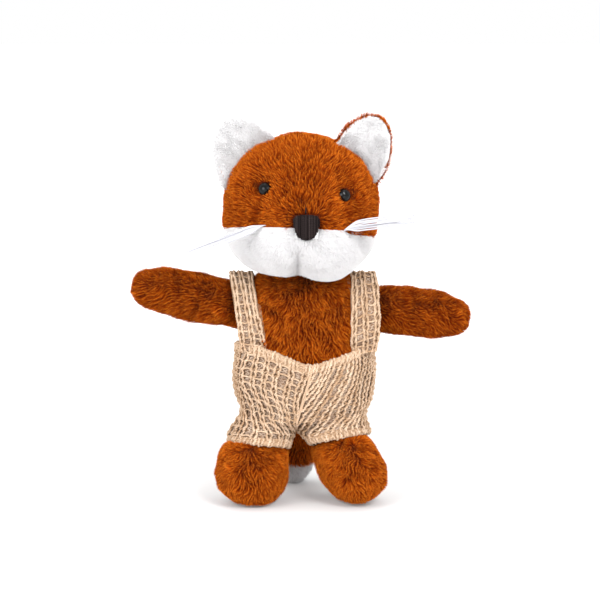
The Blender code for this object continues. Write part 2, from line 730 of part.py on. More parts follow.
def nose_shape():
    """A crowned shield: a flat top with round corners, upright sides and a round bottom."""
    place, normal = surface_on(head_shape(), NOSE_X, NOSE_Z)
    outline_shares = [
        (0.0, -0.52),
        (0.34, -0.49),
        (0.68, -0.38),
        (0.9, -0.15),
        (1.0, 0.12),
        (0.99, 0.33),
        (0.84, 0.45),
        (0.45, 0.49),
        (0.0, 0.5),
    ]
    right = [(x * NOSE_WIDTH / 2, z * NOSE_HEIGHT) for x, z in outline_shares]
    outline = np.array(right + [(-x, z) for x, z in right[-2:0:-1]])
    rings = [[(x, z, -NOSE_BACKING) for x, z in outline]]
    for share in (1.0, 0.95, 0.85, 0.68, 0.45, 0.2):
        crown = NOSE_THICKNESS * math.sqrt(1 - share**2.4)
        rings.append([(x * share, z * share, crown) for x, z in outline])
    frame = facing(place, normal + np.array([0.0, -1.5, 0.0]))
    return moved(skin(rings), frame)


def thread_shape(side, index):
    """One thread of a whisker tuft, slightly bowed and spread from its neighbours."""
    root, _ = surface_on(head_shape(), *WHISKER_ROOT[side])
    tip = WHISKER_TIP[side]
    run = tip - root
    angle = 2 * math.pi * index / WHISKER_THREADS
    spread = np.array([0.0, math.cos(angle), math.sin(angle)]) * WHISKER_SPREAD
    rings = []
    for share in np.linspace(0, 1, 7):
        bow = np.array([0.0, 0.0, -WHISKER_SAG * math.sin(math.pi * share)])
        opening = spread * math.sin(math.pi * (0.12 + 0.7 * share)) * ease(share * 4)
        centre = root + run * share + bow + opening
        radius = WHISKER_RADIUS * (1 - 0.4 * share)
        frame = facing(centre, run)
        around = np.linspace(0, 2 * math.pi, 5, endpoint=False)
        corners = [(radius * math.cos(a), radius * math.sin(a), 0) for a in around]
        rings.append([tuple(frame @ Vector(corner)) for corner in corners])
    return skin(rings)


def whisker_knot(side):
    root, normal = surface_on(head_shape(), *WHISKER_ROOT[side])
    return ball(root + normal * WHISKER_KNOT_RADIUS * 0.6, WHISKER_KNOT_RADIUS, 5, 10)


# Ears


def ear_frame(side):
    """The middle of the ear's root, with +X up along the root and +Y out to the tip."""
    inner = np.array([EAR_ROOT_INNER[side][0], EAR_Y, EAR_ROOT_INNER[side][1]])
    outer = np.array([EAR_ROOT_OUTER[side][0], EAR_Y, EAR_ROOT_OUTER[side][1]])
    along = Vector(inner - outer).normalized()
    forward = Vector((0, -1, 0))
    tip = forward.cross(along) * -OUTWARD[side]
    turn = Matrix((along, tip, along.cross(tip))).transposed().to_4x4()
    place = Matrix.Translation(Vector((inner + outer) / 2))
    lean = Matrix.Rotation(EAR_LEAN * OUTWARD[side], 4, "X")
    return place @ turn @ lean


def ear_root_half_width(side):
    inner = np.array(EAR_ROOT_INNER[side])
    outer = np.array(EAR_ROOT_OUTER[side])
    return np.linalg.norm(inner - outer) / 2


def ear_layer_shape(side, front_depth, back_depth, fringe):
    """One cupped layer, between two depths behind the ear's middle sheet."""
    half_width = ear_root_half_width(side) + fringe
    height = EAR_HEIGHT[side] + fringe
    rises = [math.sin(a) for a in np.radians([0, 14, 28, 42, 56, 68, 78, 85])]
    rises.insert(0, -EAR_ROOT_DEPTH / height)
    across = np.linspace(-1, 1, 9)
    backward = OUTWARD[side]
    power = EAR_ROUNDNESS[side]
    grids = []
    for depth in (front_depth, back_depth):
        rows = []
        for rise in rises:
            taper = (1 - max(rise, 0.0) ** power) ** (1 / power)
            middle = EAR_SKEW[side] * max(rise, 0.0) ** 1.3
            cup = EAR_CUP * (1 - 0.5 * max(rise, 0.0))
            row = []
            for u in across * taper:
                row.append((middle + u * half_width, rise * height, backward * (depth - cup * u**2)))
            rows.append(row)
        grids.append(rows)
    rows, columns = len(rises), len(across)
    points = np.array(grids).reshape(-1, 3)
    faces = []
    for layer in (0, 1):
        start = layer * rows * columns
        for i in range(rows - 1):
            for j in range(columns - 1):
                a = start + i * columns + j
                faces.append((a, a + 1, a + columns + 1, a + columns))
    rim = [j for j in range(columns)]
    rim += [i * columns + columns - 1 for i in range(1, rows)]
    rim += [(rows - 1) * columns + j for j in range(columns - 2, -1, -1)]
    rim += [i * columns for i in range(rows - 2, 0, -1)]
    shift = rows * columns
    for a, b in zip(rim, rim[1:] + rim[:1]):
        faces.append((a, b, b + shift, a + shift))
    return moved(outward(points, faces), ear_frame(side))


# Dungarees


def waist_height(x, y):
    """The height of the top edge: scooped in front, level behind."""
    dip = np.clip(np.abs(x - WAIST_DIP_X) / WAIST_DIP_HALF_WIDTH, 0, 1)
    side = WAIST_SIDE_HEIGHT["left"] if x < WAIST_DIP_X else WAIST_SIDE_HEIGHT["right"]
    front = WAIST_DIP_HEIGHT + (side - WAIST_DIP_HEIGHT) * ease(dip)
    behind = ease((y / TORSO_HALF_DEPTH + 0.35) / 0.7)
    return front + (WAIST_BACK_HEIGHT - front) * behind


def waist_block(growth=0.0):
    """Everything below the top edge of the dungarees."""
    reach = TORSO_HALF_WIDTH + OVERRUN
    xs = np.linspace(-reach, reach, 29)
    ys = np.linspace(-reach, reach, 25)
    top = [(x, y, waist_height(x, y) + growth) for y in ys for x in xs]
    low = [(x, y, -OVERRUN) for y in ys for x in xs]
    columns, rows = len(xs), len(ys)
    shift = columns * rows
    faces = []
    for i in range(rows - 1):
        for j in range(columns - 1):
            a = i * columns + j
            faces.append((a, a + 1, a + columns + 1, a + columns))
    rim = [j for j in range(columns)]
    rim += [i * columns + columns - 1 for i in range(1, rows)]
    rim += [(rows - 1) * columns + j for j in range(columns - 2, -1, -1)]
    rim += [i * columns for i in range(rows - 2, 0, -1)]
    faces += [(a, b, b + shift, a + shift) for a, b in zip(rim, rim[1:] + rim[:1])]
    faces.append(tuple(a + shift for a in rim))
    used = sorted({index for face in faces for index in face})
    number = {index: place for place, index in enumerate(used)}
    points = np.array(top + low)[used]
    return outward(points, [tuple(number[index] for index in face) for face in faces])


def seat_shape():
    """The body of the dungarees, baggy over the hips and drawn in above the cuffs."""
    top = max(WAIST_SIDE_HEIGHT.values()) + WAIST_CLEAR
    fullness_shares = [
        (0.0, 0.42, 0.40),
        (0.05, 0.74, 0.72),
        (0.12, 0.90, 0.89),
        (0.22, 0.985, 0.99),
        (0.34, 1.035, 1.03),
        (0.5, 1.048, 1.045),
        (0.68, 1.02, 1.02),
        (0.82, 0.995, 1.0),
        (1.0, 0.985, 0.99),
    ]
    half_width = TORSO_HALF_WIDTH + SHORTS_THICKNESS
    half_depth = TORSO_HALF_DEPTH + SHORTS_THICKNESS
    around = np.linspace(0, 2 * math.pi, 40, endpoint=False)
    across = signed_power(np.cos(around), 2 / TORSO_SECTION_POWER) * half_width
    along = signed_power(np.sin(around), 2 / TORSO_SECTION_POWER) * half_depth
    rings = []
    for share in (0.0, 0.05, 0.12, 0.2, 0.3, 0.42, 0.56, 0.72, 0.86, 1.0):
        wide, deep = through(fullness_shares, share)[0]
        z = SHORTS_BOTTOM + (top - SHORTS_BOTTOM) * share
        ring = [across * wide + TORSO_CENTRE[0], along * deep + TORSO_CENTRE[1], np.full(len(around), z)]
        rings.append(np.transpose(ring))
    return skin(rings)


def cuff_edge(edges, heights, z):
    """The sideways place of an edge that eases from the hem to the fork between two heights."""
    share = ease((z - heights[0]) / (heights[1] - heights[0]))
    return edges[0] + (edges[1] - edges[0]) * share


def cuff_shape(side):
    """A leg of the dungarees, flared towards its hem."""
    low = min(HEM_HEIGHT.values()) - OVERRUN / 4
    around = np.linspace(0, 2 * math.pi, 28, endpoint=False)
    rings = []
    for z in np.linspace(low, CUFF_TOP_HEIGHT, 10):
        inner = cuff_edge(CUFF_INNER_EDGES[side], CUFF_INNER_HEIGHTS, z)
        outer = cuff_edge(CUFF_OUTER_EDGES[side], CUFF_OUTER_HEIGHTS, z)
        x, half_width = (inner + outer) / 2, abs(outer - inner) / 2
        rings.append(
            [(x + half_width * math.cos(a), CUFF_Y + CUFF_HALF_DEPTH * math.sin(a), z) for a in around]
        )
    return skin(rings)


def hem_block(side):
    """Everything under the hem of one leg."""
    reach = CUFF_HALF_DEPTH + OVERRUN
    corners = [(-reach, -reach), (reach, -reach), (reach, reach), (-reach, reach)]
    middle = (CUFF_INNER_EDGES[side][0] + CUFF_OUTER_EDGES[side][0]) / 2
    low, high = [], []
    for x, y in corners:
        wide = -middle if x * OUTWARD[side] < 0 else x
        rise = -y * math.tan(HEM_FRONT_RISE) + wide * OUTWARD[side] * math.tan(HEM_SIDE_RISE[side])
        low.append((middle + wide, y, -OVERRUN))
        high.append((middle + wide, y, HEM_HEIGHT[side] + rise))
    faces = [(0, 1, 2, 3), (4, 5, 6, 7), (0, 1, 5, 4), (1, 2, 6, 5), (2, 3, 7, 6), (3, 0, 4, 7)]
    return outward(np.array(low + high), faces)


# Straps


def torso_reach(x, angle):
    """How far the torso's surface lies from its middle, at x and an angle up from the front."""
    wide = abs(x) / TORSO_HALF_WIDTH
    deep, high = abs(math.cos(angle)) / TORSO_HALF_DEPTH, abs(math.sin(angle)) / TORSO_HALF_HEIGHT
    low, far = 0.0, TORSO_HALF_HEIGHT * 2
    for _ in range(40):
        middle = (low + far) / 2
        section = wide**TORSO_SECTION_POWER + (deep * middle) ** TORSO_SECTION_POWER
        level = section ** (TORSO_PROFILE_POWER / TORSO_SECTION_POWER)
        inside = level + (high * middle) ** TORSO_PROFILE_POWER < 1
        low, far = (middle, far) if inside else (low, middle)
    return low


def strap_shape(side):
    """A flat knitted band that follows the torso from front to back over the shoulder."""
    foot = math.asin((TORSO_CENTRE[2] - STRAP_FOOT_HEIGHT) / TORSO_HALF_DEPTH)
    angles = np.linspace(-foot, math.pi + foot, 29)
    edges_shares = [
        (0.0, *STRAP_EDGES_FRONT[side]),
        (0.25, *STRAP_EDGES_CHEST[side]),
        (0.5, *STRAP_EDGES_TOP[side]),
        (1.0, *STRAP_EDGES_BACK[side]),
    ]
    across = np.linspace(0, 1, 5)
    rings = []
    for angle, share in zip(angles, np.linspace(0, 1, len(angles))):
        inner, outer = through(edges_shares, share)[0]
        under, over = [], []
        for u in across:
            x = inner + (outer - inner) * u
            lay = min(abs(x - TORSO_CENTRE[0]), STRAP_LAY_WIDTH)
            reach = torso_reach(lay, angle) + 2 * SEAM_GAP
            crown = STRAP_THICKNESS * (0.8 + 0.2 * math.sin(math.pi * u))
            for distance, row in ((reach, under), (reach + crown, over)):
                y = TORSO_CENTRE[1] - math.cos(angle) * distance
                z = TORSO_CENTRE[2] + math.sin(angle) * distance
                row.append((x, y, z))
        rings.append(under + over[::-1])
    return skin(rings)


# Assembly


def build_torso(materials, root):
    torso = make_piece("torso", torso_shape(), materials["brown"], root)
    reach = 2 * TORSO_HALF_WIDTH
    neck = [(reach, NECK_HEIGHT), (reach, NECK_HEIGHT + OVERRUN)]
    combine(torso, make_cutter("neck_cut", lathe(neck, 24)))
    for side in SIDES:
        combine(torso, make_cutter(f"shoulder_room_{side}", shoulder_room(side)))
        combine(torso, make_cutter(f"hip_room_{side}", hip_room(side)))
    combine(torso, make_cutter("tail_room", tail_room()))


def build_arms(materials, root):
    for side in SIDES:
        pivot = make_empty(f"shoulder_pivot_{side}", shoulder_pivot(side), root)
        make_piece(f"arm_{side}", arm_shape(side), materials["brown"], pivot)


def floor_block():
    reach = 4 * FOOT_HALF_LENGTH
    corners = [(-reach, -reach), (reach, -reach), (reach, reach), (-reach, reach)]
    points = [(x, y, z) for z in (-OVERRUN, 0.0) for x, y in corners]
    faces = [(0, 1, 2, 3), (4, 5, 6, 7), (0, 1, 5, 4), (1, 2, 6, 5), (2, 3, 7, 6), (3, 0, 4, 7)]
    return outward(np.array(points), faces)


def build_legs(materials, root, floor):
    for side in SIDES:
        pivot = make_empty(f"hip_pivot_{side}", hip_pivot(side), root)
        leg = make_piece(f"leg_{side}", shaft_shape(side), materials["brown"], pivot)
        combine(leg, make_cutter(f"foot_form_{side}", foot_shape(side)), "UNION")
        combine(leg, floor)


def build_tail(materials, root, floor):
    pivot = make_empty("tail_pivot", tail_pivot(), root)
    tail = make_piece("tail", tail_shape(), materials["brown"], pivot)
    combine(tail, make_cutter("tail_split_upper", tail_split_block(-SEAM_GAP / 2)))
    tip = make_piece("tail_tip", tail_shape(), materials["white"], pivot)
    combine(tip, make_cutter("tail_split_lower", tail_split_block(SEAM_GAP / 2)), "INTERSECT")
    combine(tip, floor)


def build_head(materials, root):
    pivot = make_empty("neck_pivot", (0.0, 0.0, NECK_HEIGHT), root)
    head = make_piece("head", head_shape(), materials["brown"], pivot)
    low = HEAD_CENTRE[2] - HEAD_HALF_HEIGHT - OVERRUN
    neck_room = [(NECK_RADIUS, low), (NECK_RADIUS, NECK_HEIGHT + SEAM_GAP)]
    neck = make_cutter("neck_room", lathe(neck_room, 32))
    inner = make_cutter("panel_backing", head_shape(-PANEL_THICKNESS))
    reach = HEAD_HALF_WIDTH + OVERRUN
    recess = make_cutter("panel_recess", panel_block(-reach, reach, SEAM_GAP))
    combine(recess, make_cutter("panel_floor", head_shape(-PANEL_THICKNESS - PANEL_BACK_GAP)))
    combine(head, neck)
    combine(head, recess)
    edges = {"left": (-reach, CHIN_SEAM_X - SEAM_GAP / 2), "right": (CHIN_SEAM_X + SEAM_GAP / 2, reach)}
    for side in SIDES:
        panel = make_piece(f"cheek_panel_{side}", head_shape(), materials["white"], pivot)
        combine(panel, neck)
        combine(panel, make_cutter(f"panel_region_{side}", panel_block(*edges[side])), "INTERSECT")
        combine(panel, inner)
    for side in SIDES:
        build_eye(side, head, materials, pivot)
    proud = make_cutter("head_clearance", head_shape(SEAM_GAP))
    nose = make_piece("nose", nose_shape(), materials["black_felt"], pivot)
    combine(nose, proud)
    for side in SIDES:
        build_whiskers(side, materials, pivot, proud)
        build_ear(side, materials, pivot)


def build_eye(side, head, materials, pivot):
    make_piece(f"eye_{side}", eye_shape(side), materials["black_bead"], pivot)
    combine(head, make_cutter(f"eye_room_{side}", eye_room(side)))
    washer = make_piece(f"eye_washer_{side}", washer_shape(side), materials["washer"], pivot)
    for index in range(WASHER_SLOTS):
        combine(washer, make_cutter(f"washer_slot_{side}_{index}", washer_slot(side, index)))


def build_whiskers(side, materials, pivot, proud):
    tuft = make_piece(f"whiskers_{side}", whisker_knot(side), materials["white"], pivot)
    for index in range(WHISKER_THREADS):
        combine(tuft, make_cutter(f"whisker_{side}_{index}", thread_shape(side, index)), "UNION")
    combine(tuft, proud)


def build_ear(side, materials, head_pivot):
    frame = ear_frame(side)
    root = np.array(frame.translation)
    along = np.array(frame.to_3x3().col[0])
    pivot = make_empty(f"ear_pivot_{side}", root, head_pivot)
    half_gap = SEAM_GAP / 2
    lining = ear_layer_shape(side, -half_gap - EAR_LAYER, -half_gap, 0.0)
    back = ear_layer_shape(side, half_gap, half_gap + EAR_LAYER, EAR_FRINGE)
    layers = [
        make_piece(f"ear_lining_{side}", lining, materials["white"], pivot),
        make_piece(f"ear_back_{side}", back, materials["brown"], pivot),
    ]
    room = sweep(head_shape(SEAM_GAP), root, along, EAR_FOLDS)
    swept = make_cutter(f"ear_sweep_{side}", room)
    for layer in layers:
        combine(layer, swept)


def build_dungarees(materials, root):
    shorts = make_piece("dungarees", seat_shape(), materials["knit"], root)
    for side in SIDES:
        combine(shorts, make_cutter(f"cuff_form_{side}", cuff_shape(side)), "UNION")
    combine(shorts, make_cutter("waist_region", waist_block()), "INTERSECT")
    combine(shorts, make_cutter("torso_clearance", torso_shape(SEAM_GAP)))
    for side in SIDES:
        combine(shorts, make_cutter(f"hem_cut_{side}", hem_block(side)))
        combine(shorts, make_cutter(f"shaft_clearance_{side}", shaft_shape(side, SEAM_GAP)))
        combine(shorts, make_cutter(f"foot_clearance_{side}", foot_shape(side, SEAM_GAP)))
    combine(shorts, make_cutter("tail_clearance", tail_shape(SEAM_GAP)))


def build_straps(materials, root):
    below = make_cutter("strap_seat", waist_block(SEAM_GAP))
    for side in SIDES:
        strap = make_piece(f"strap_{side}", strap_shape(side), materials["knit"], root)
        combine(strap, below)


def build_fox():
    clear_scene()
    materials = {
        "brown": make_material("brown_plush", BROWN, 0.95),
        "white": make_material("white_plush", WHITE, 0.95),
        "knit": make_material("beige_knit", KNIT, 0.9),
        "black_felt": make_material("black_felt", BLACK, 0.85),
        "black_bead": make_material("black_bead", BLACK, 0.08),
        "washer": make_material("washer_plastic", WASHER, 0.4),
    }
    root = make_empty("fox", (0.0, 0.0, 0.0))
    floor = make_cutter("floor_cut", floor_block())
    build_torso(materials, root)
    build_arms(materials, root)
    build_legs(materials, root, floor)
    build_tail(materials, root, floor)
    build_head(materials, root)
    build_dungarees(materials, root)
    build_straps(materials, root)


build_fox()
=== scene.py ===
"""The plush fox dressed: stuffed forms, a cut pile of mesh strands, knitted yarn and stitched threads."""

import math
from collections import namedtuple

import bmesh
import bpy
import numpy as np
from mathutils import Matrix, Vector
from mathutils.bvhtree import BVHTree


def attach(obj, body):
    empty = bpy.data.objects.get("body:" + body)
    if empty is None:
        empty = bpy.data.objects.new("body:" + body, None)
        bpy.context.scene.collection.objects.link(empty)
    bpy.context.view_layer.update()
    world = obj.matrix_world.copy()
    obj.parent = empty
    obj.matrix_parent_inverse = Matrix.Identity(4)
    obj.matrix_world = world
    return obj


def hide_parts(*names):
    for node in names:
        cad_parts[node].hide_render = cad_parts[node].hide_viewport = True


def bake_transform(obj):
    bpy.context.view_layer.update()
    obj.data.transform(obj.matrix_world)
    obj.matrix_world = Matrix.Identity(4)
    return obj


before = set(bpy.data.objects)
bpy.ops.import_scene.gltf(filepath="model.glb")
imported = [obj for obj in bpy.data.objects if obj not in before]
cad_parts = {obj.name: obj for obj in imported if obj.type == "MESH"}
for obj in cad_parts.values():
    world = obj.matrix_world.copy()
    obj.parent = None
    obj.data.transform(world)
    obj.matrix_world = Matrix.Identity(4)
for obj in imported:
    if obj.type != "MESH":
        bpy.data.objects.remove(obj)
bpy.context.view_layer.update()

# All the lengths below are in millimetres, and the meshes are made in metres.
MM = 0.001
SIDES = ("left", "right")
OUTWARD = {"left": -1.0, "right": 1.0}

TORSO_CENTRE = np.array([1.2, 0.0, 63.0])
TORSO_HALF = np.array([24.8, 18.0, 29.5])
TORSO_SECTION_POWER = 2.3
TORSO_PROFILE_POWER = 2.8
NECK_HEIGHT = 91.0
NECK_RADIUS = 17.5

HEAD_CENTRE = np.array([0.0, -3.0, 116.5])
HEAD_HALF = np.array([30.0, 27.0, 27.5])
SNOUT = {"x": 1.6, "z": 111.5, "reach": 7.2, "wide": 14.5, "high": 12.5}
CHEEK_HEIGHT = 100.5
CHEEK_REACH = 3.6
CHEEK_HALF_HEIGHT = 9.0
CHEEK_X = {"left": -8.5, "right": 13.6}
CHEEK_HALF_WIDTH = 9.5
CHEEK_DROP = {"left": -0.2, "right": 3.4}
CHIN_SEAM_X = -1.1
CHIN_NOTCH_DEPTH = 3.6
CHIN_NOTCH_HALF_WIDTH = 2.6
CHIN_Y = -19.0
CHIN_HALF_DEPTH = 10.0
PANEL_TOP_HEIGHT = 106.3
PANEL_TOP_FRONT_SLOPE = math.radians(7.6)
PANEL_TOP_SIDE_SLOPE = math.radians(-2.4)
PANEL_BACK_Y = -3.5

EYE_PLACE = {"left": (-13.7, 124.3), "right": (16.3, 121.8)}
EYE_BEAD_RADIUS = 2.7
EYE_HOLLOW_DEPTH = 1.6
EYE_HOLLOW_RADIUS = 5.0
NOSE_X, NOSE_Z = 2.0, 111.1
NOSE_WIDTH, NOSE_HEIGHT = 10.1, 8.9
NOSE_THICKNESS = 2.6
PANEL_DIP = 1.2
SNOUT_SIDE = {"left": 16.4, "right": 13.2}
WHISKER_ROOT = {"left": (-12.3, 111.0), "right": (14.6, 108.6)}
WHISKER_TIP = {
    "left": np.array([-42.9, -35.0, 100.6]),
    "right": np.array([42.3, -35.0, 113.8]),
}
WHISKER_COUNT = 10
WHISKER_RADIUS = 0.27
WHISKER_BOW = {"left": 0.5, "right": 1.7}
WHISKER_SPREAD = {"left": 1.4, "right": 1.8}

EAR_ROOT_INNER = {"left": (-12.1, 142.1), "right": (13.8, 141.4)}
EAR_ROOT_OUTER = {"left": (-28.4, 124.0), "right": (29.2, 125.0)}
EAR_HEIGHT = {"left": 16.0, "right": 17.6}
EAR_SKEW = {"left": 3.4, "right": 4.0}
EAR_ROUNDNESS = {"left": 1.8, "right": 2.05}
EAR_Y = -2.0
EAR_ROOT_DEPTH = 6.0
EAR_CUP = 3.2
EAR_LAYER = 1.5
EAR_RIMS = {"left": (0.9, -0.5), "right": (-0.9, 0.3)}
EAR_LEAN = math.radians(12)

SHOULDER_HEIGHT = {"left": 76.4, "right": 76.0}
SHOULDER_INSET = 0.8
ARM_LENGTH = {"left": 43.9, "right": 40.6}
ARM_ROOT_RADIUS = 9.0
ARM_MIDDLE_RADIUS = 9.7
ARM_REST = {"left": math.radians(11.5), "right": math.radians(-6.0)}

HIP_X = {"left": -12.6, "right": 14.0}
HIP_HEIGHT = 43.0
THIGH_RADIUS = 8.2
ANKLE_RADIUS = 10.9
ANKLE_HEIGHT = 19.5
FOOT_CENTRE_X = {"left": -18.6, "right": 18.5}
FOOT_CENTRE_Y = -5.0
FOOT_HALF_WIDTH = {"left": 14.1, "right": 12.3}
FOOT_HALF_LENGTH = 19.5
FOOT_HALF_HEIGHT = {"left": 14.8, "right": 15.8}
FOOT_PROFILE_POWERS = (2.6, 2.1)
FOOT_SECTION_POWER = 2.35
FOOT_TOE_OUT = {"left": math.radians(6), "right": math.radians(16)}
FOOT_ROLL = {"left": math.radians(5), "right": math.radians(30)}

TAIL_PATH = np.array([[0.5, 12.0, 41.0], [0.5, 29.5, 30.0], [-4.6, 32.3, -0.4]])
TAIL_ROOT_RADIUS = 5.0
TAIL_FULL_RADIUS = 8.4
TAIL_FULLEST_SHARE = 0.76
TAIL_SPLIT_SHARE = 0.81

SHORTS_THICKNESS = 1.9
WAIST_SIDE_HEIGHT = {"left": 63.0, "right": 62.6}
WAIST_DIP_HEIGHT = 56.4
WAIST_DIP_X = 4.6
WAIST_DIP_HALF_WIDTH = 24.5
WAIST_BACK_HEIGHT = 61.0
CUFF_INNER_HEIGHTS = (21.0, 28.5)
CUFF_INNER_EDGES = {"left": (-3.8, -1.5), "right": (4.0, -2.0)}
CUFF_OUTER_HEIGHTS = (25.0, 35.5)
CUFF_OUTER_EDGES = {"left": (-28.5, -24.3), "right": (27.6, 25.4)}
CUFF_MIDDLE = {side: (CUFF_INNER_EDGES[side][0] + CUFF_OUTER_EDGES[side][0]) / 2 for side in SIDES}
CUFF_Y = -2.0
CUFF_HALF_DEPTH = 17.0
HEM_HEIGHT = {"left": 21.5, "right": 24.0}
HEM_FRONT_RISE = math.radians(12)
HEM_SIDE_RISE = {"left": math.radians(5), "right": math.radians(12)}

STRAP_THICKNESS = 1.8
STRAP_EDGES_FRONT = {"left": (-11.2, -22.9), "right": (18.6, 29.3)}
STRAP_EDGES_CHEST = {"left": (-14.6, -25.3), "right": (18.4, 30.9)}
STRAP_EDGES_TOP = {"left": (-17.9, -28.6), "right": (17.7, 29.8)}
STRAP_EDGES_BACK = {"left": (-12.0, -22.0), "right": (14.0, 24.0)}
STRAP_LAY_WIDTH = 17.5
STRAP_FOOT_HEIGHT = 55.0

# How far each stuffed form lies inside its solid, to leave room for its pile
SINK = {"torso": 1.2, "arm": 1.3, "leg": 1.7, "tail": 1.2, "head": 1.6}

# Pile: the length of the fibres on each plush, and a fibre's width
BROWN_PILE = 2.0
WHITE_PILE = 1.3
EAR_PILE = 1.3
FIBRE_WIDTH = 0.17

# Each pile: how many fibres, the seed of their places, their length and width, how far they
# lean, how much their clumps gather, and how much their locks differ in lightness, which is
# partly painted light on the gathered tips and painted shade in the partings
Fur = namedtuple("Fur", "count seed length width lean tousle grain")
FURS = {
    "torso": Fur(52000, 21, BROWN_PILE, FIBRE_WIDTH, 0.95, 0.3, 1.35),
    "arm": Fur(34000, 31, BROWN_PILE, FIBRE_WIDTH, 0.95, 0.3, 1.3),
    "leg": Fur(40000, 41, BROWN_PILE, FIBRE_WIDTH, 0.95, 0.3, 1.15),
    "tail": Fur(18000, 51, BROWN_PILE, FIBRE_WIDTH, 0.95, 0.3, 0.8),
    "tail_tip": Fur(7000, 51, BROWN_PILE, FIBRE_WIDTH, 0.95, 0.3, 0.1),
    "head": Fur(88000, 61, BROWN_PILE, FIBRE_WIDTH, 0.95, 0.3, 1.0),
    "cheek": Fur(34000, 71, WHITE_PILE, 0.2, 0.9, 0.08, 0.1),
    "ear_lining": Fur(14000, 81, 0.8 * EAR_PILE, 0.24, 0.95, 0.08, 0.08),
    "ear_back": Fur(12000, 82, EAR_PILE + 0.2, 0.18, 0.7, 0.2, 1.0),
}

# How deep the stuffing's large and small lumps are on each form
LUMP_DEPTHS = {
    "torso": (0.35, 0.12), "arm": (0.25, 0.15), "leg": (0.22, 0.15), "tail": (0.15, 0.1),
    "head": (0.25, 0.12), "ear": (0.12, 0.1),
}

# How much lighter the fibres of each limb are, and where the nap starts
ARM_SHADE = {"left": -0.10, "right": -0.24}
LEG_SHADE = {"left": 0.07, "right": 0.1}
# Painted light: the tail's fibres are made lighter where it lies in shadow between the feet
TAIL_PAINTED_LIGHT = 0.4
CHEEK_SHADE = 0.27
EAR_BACK_SHADE = 0.25
EAR_HALF_GAP = 0.15
TAIL_PILE_SHARE = 0.16
NAP_START = np.array([NOSE_X, -34.0, NOSE_Z])

# Camera and stage: in metres and watts, with the photograph's own measures in pixels
PHOTO_PX = 600.0
FOCAL_PX = 2321.1
SHIFT_PX = (-1.0, 9.7)
SENSOR_WIDTH = 36.0
CAMERA_RISE = math.radians(8.2)
CAMERA_DISTANCE = 0.9
CAMERA_AIM_HEIGHT = 0.075
FLOOR_REACH = 6.0
FLOOR_COLOUR = (0.84, 0.84, 0.84, 1)
FLOOR_GLOW = {"From Min": 0.13, "From Max": 0.75, "To Min": 0.11, "To Max": 0.9}
WORLD_LIGHT = 0.86

# Each lamp's place, the height that it aims at, its side and its power
LAMPS = {
    "key": ((0.4, -0.8, 0.6), 0.07, 0.5, 1.6),
    "bowl": ((0.38, -0.78, 0.6), 0.07, 0.35, 4.8),
    "fill": ((-0.55, -0.75, 0.5), 0.07, 0.6, 5.5),
    "top": ((0.0, 0.1, 1.0), 0.0, 0.8, 2.0),
}

# A plush: the material of its fibres, the material of its backing, and its slot
Plush = namedtuple("Plush", "fibre ground slot")


# Camera, floor and light


def placed(name, data):
    piece = bpy.data.objects.new(name, data)
    bpy.context.scene.collection.objects.link(piece)
    return piece


def place_camera():
    data = bpy.data.cameras.new("camera")
    data.sensor_width = SENSOR_WIDTH
    data.lens = SENSOR_WIDTH * FOCAL_PX / PHOTO_PX
    data.shift_x, data.shift_y = (shift / PHOTO_PX for shift in SHIFT_PX)
    data.clip_start, data.clip_end = 0.05, 10.0
    camera = placed("camera", data)
    back, up = CAMERA_DISTANCE * math.cos(CAMERA_RISE), CAMERA_DISTANCE * math.sin(CAMERA_RISE)
    camera.location = (0.0, -back, CAMERA_AIM_HEIGHT + up)
    camera.rotation_euler = (math.pi / 2 - CAMERA_RISE, 0.0, 0.0)
    bpy.context.scene.camera = camera


def add_lamp(name, place, aim_height, side, power):
    data = bpy.data.lights.new(name, "AREA")
    data.shape = "RECTANGLE"
    data.size = data.size_y = side
    data.energy = power
    lamp = placed(name, data)
    lamp.location = place
    aim = Vector((0, 0, aim_height)) - Vector(place)
    lamp.rotation_euler = aim.to_track_quat("-Z", "Y").to_euler()


def build_floor():
    """A pale floor. Away from the object the camera sees it glow to white, as it sees the world."""
    mesh = bpy.data.meshes.new("floor")
    corners = [(x * FLOOR_REACH, y * FLOOR_REACH, 0) for x, y in ((-1, -1), (1, -1), (1, 1), (-1, 1))]
    mesh.from_pydata(corners, [], [(0, 1, 2, 3)])
    floor = placed("floor", mesh)
    material, tree, shader = new_material("floor_paper")
    place = add_node(tree, "TexCoord")
    away = add_node(tree, "VectorMath", {0: place.outputs["Object"]}, operation="LENGTH")
    spread = add_node(tree, "MapRange", {"Value": away.outputs["Value"], **FLOOR_GLOW},
                      interpolation_type="SMOOTHSTEP")
    ray = add_node(tree, "LightPath")
    product = {0: ray.outputs["Is Camera Ray"], 1: spread.outputs[0]}
    glow = add_node(tree, "Math", product, operation="MULTIPLY")
    set_inputs(tree, shader, {
        "Base Color": FLOOR_COLOUR, "Roughness": 0.9, "Specular IOR Level": 0.1,
        "Emission Color": (1, 1, 1, 1), "Emission Strength": glow.outputs[0],
    })
    mesh.materials.append(material)


def build_stage():
    build_floor()
    world = bpy.data.worlds.new("studio")
    bpy.context.scene.world = world
    world.use_nodes = True
    tree = world.node_tree
    ray = add_node(tree, "LightPath")
    seen = {"Value": ray.outputs["Is Camera Ray"], "To Min": WORLD_LIGHT, "To Max": 1.0}
    level = add_node(tree, "MapRange", seen)
    set_inputs(tree, tree.nodes["Background"], {"Color": (1, 1, 1, 1), "Strength": level.outputs[0]})
    for name, lamp in LAMPS.items():
        add_lamp(name, *lamp)


# Materials


def new_material(name):
    material = bpy.data.materials.new(name)
    material.use_nodes = True
    tree = material.node_tree
    return material, tree, tree.nodes["Principled BSDF"]


def set_inputs(tree, node, inputs):
    """Sets a node's inputs, each to a value or to a link from another node's output."""
    for name, value in inputs.items():
        if isinstance(value, bpy.types.NodeSocket):
            tree.links.new(value, node.inputs[name])
        else:
            node.inputs[name].default_value = value


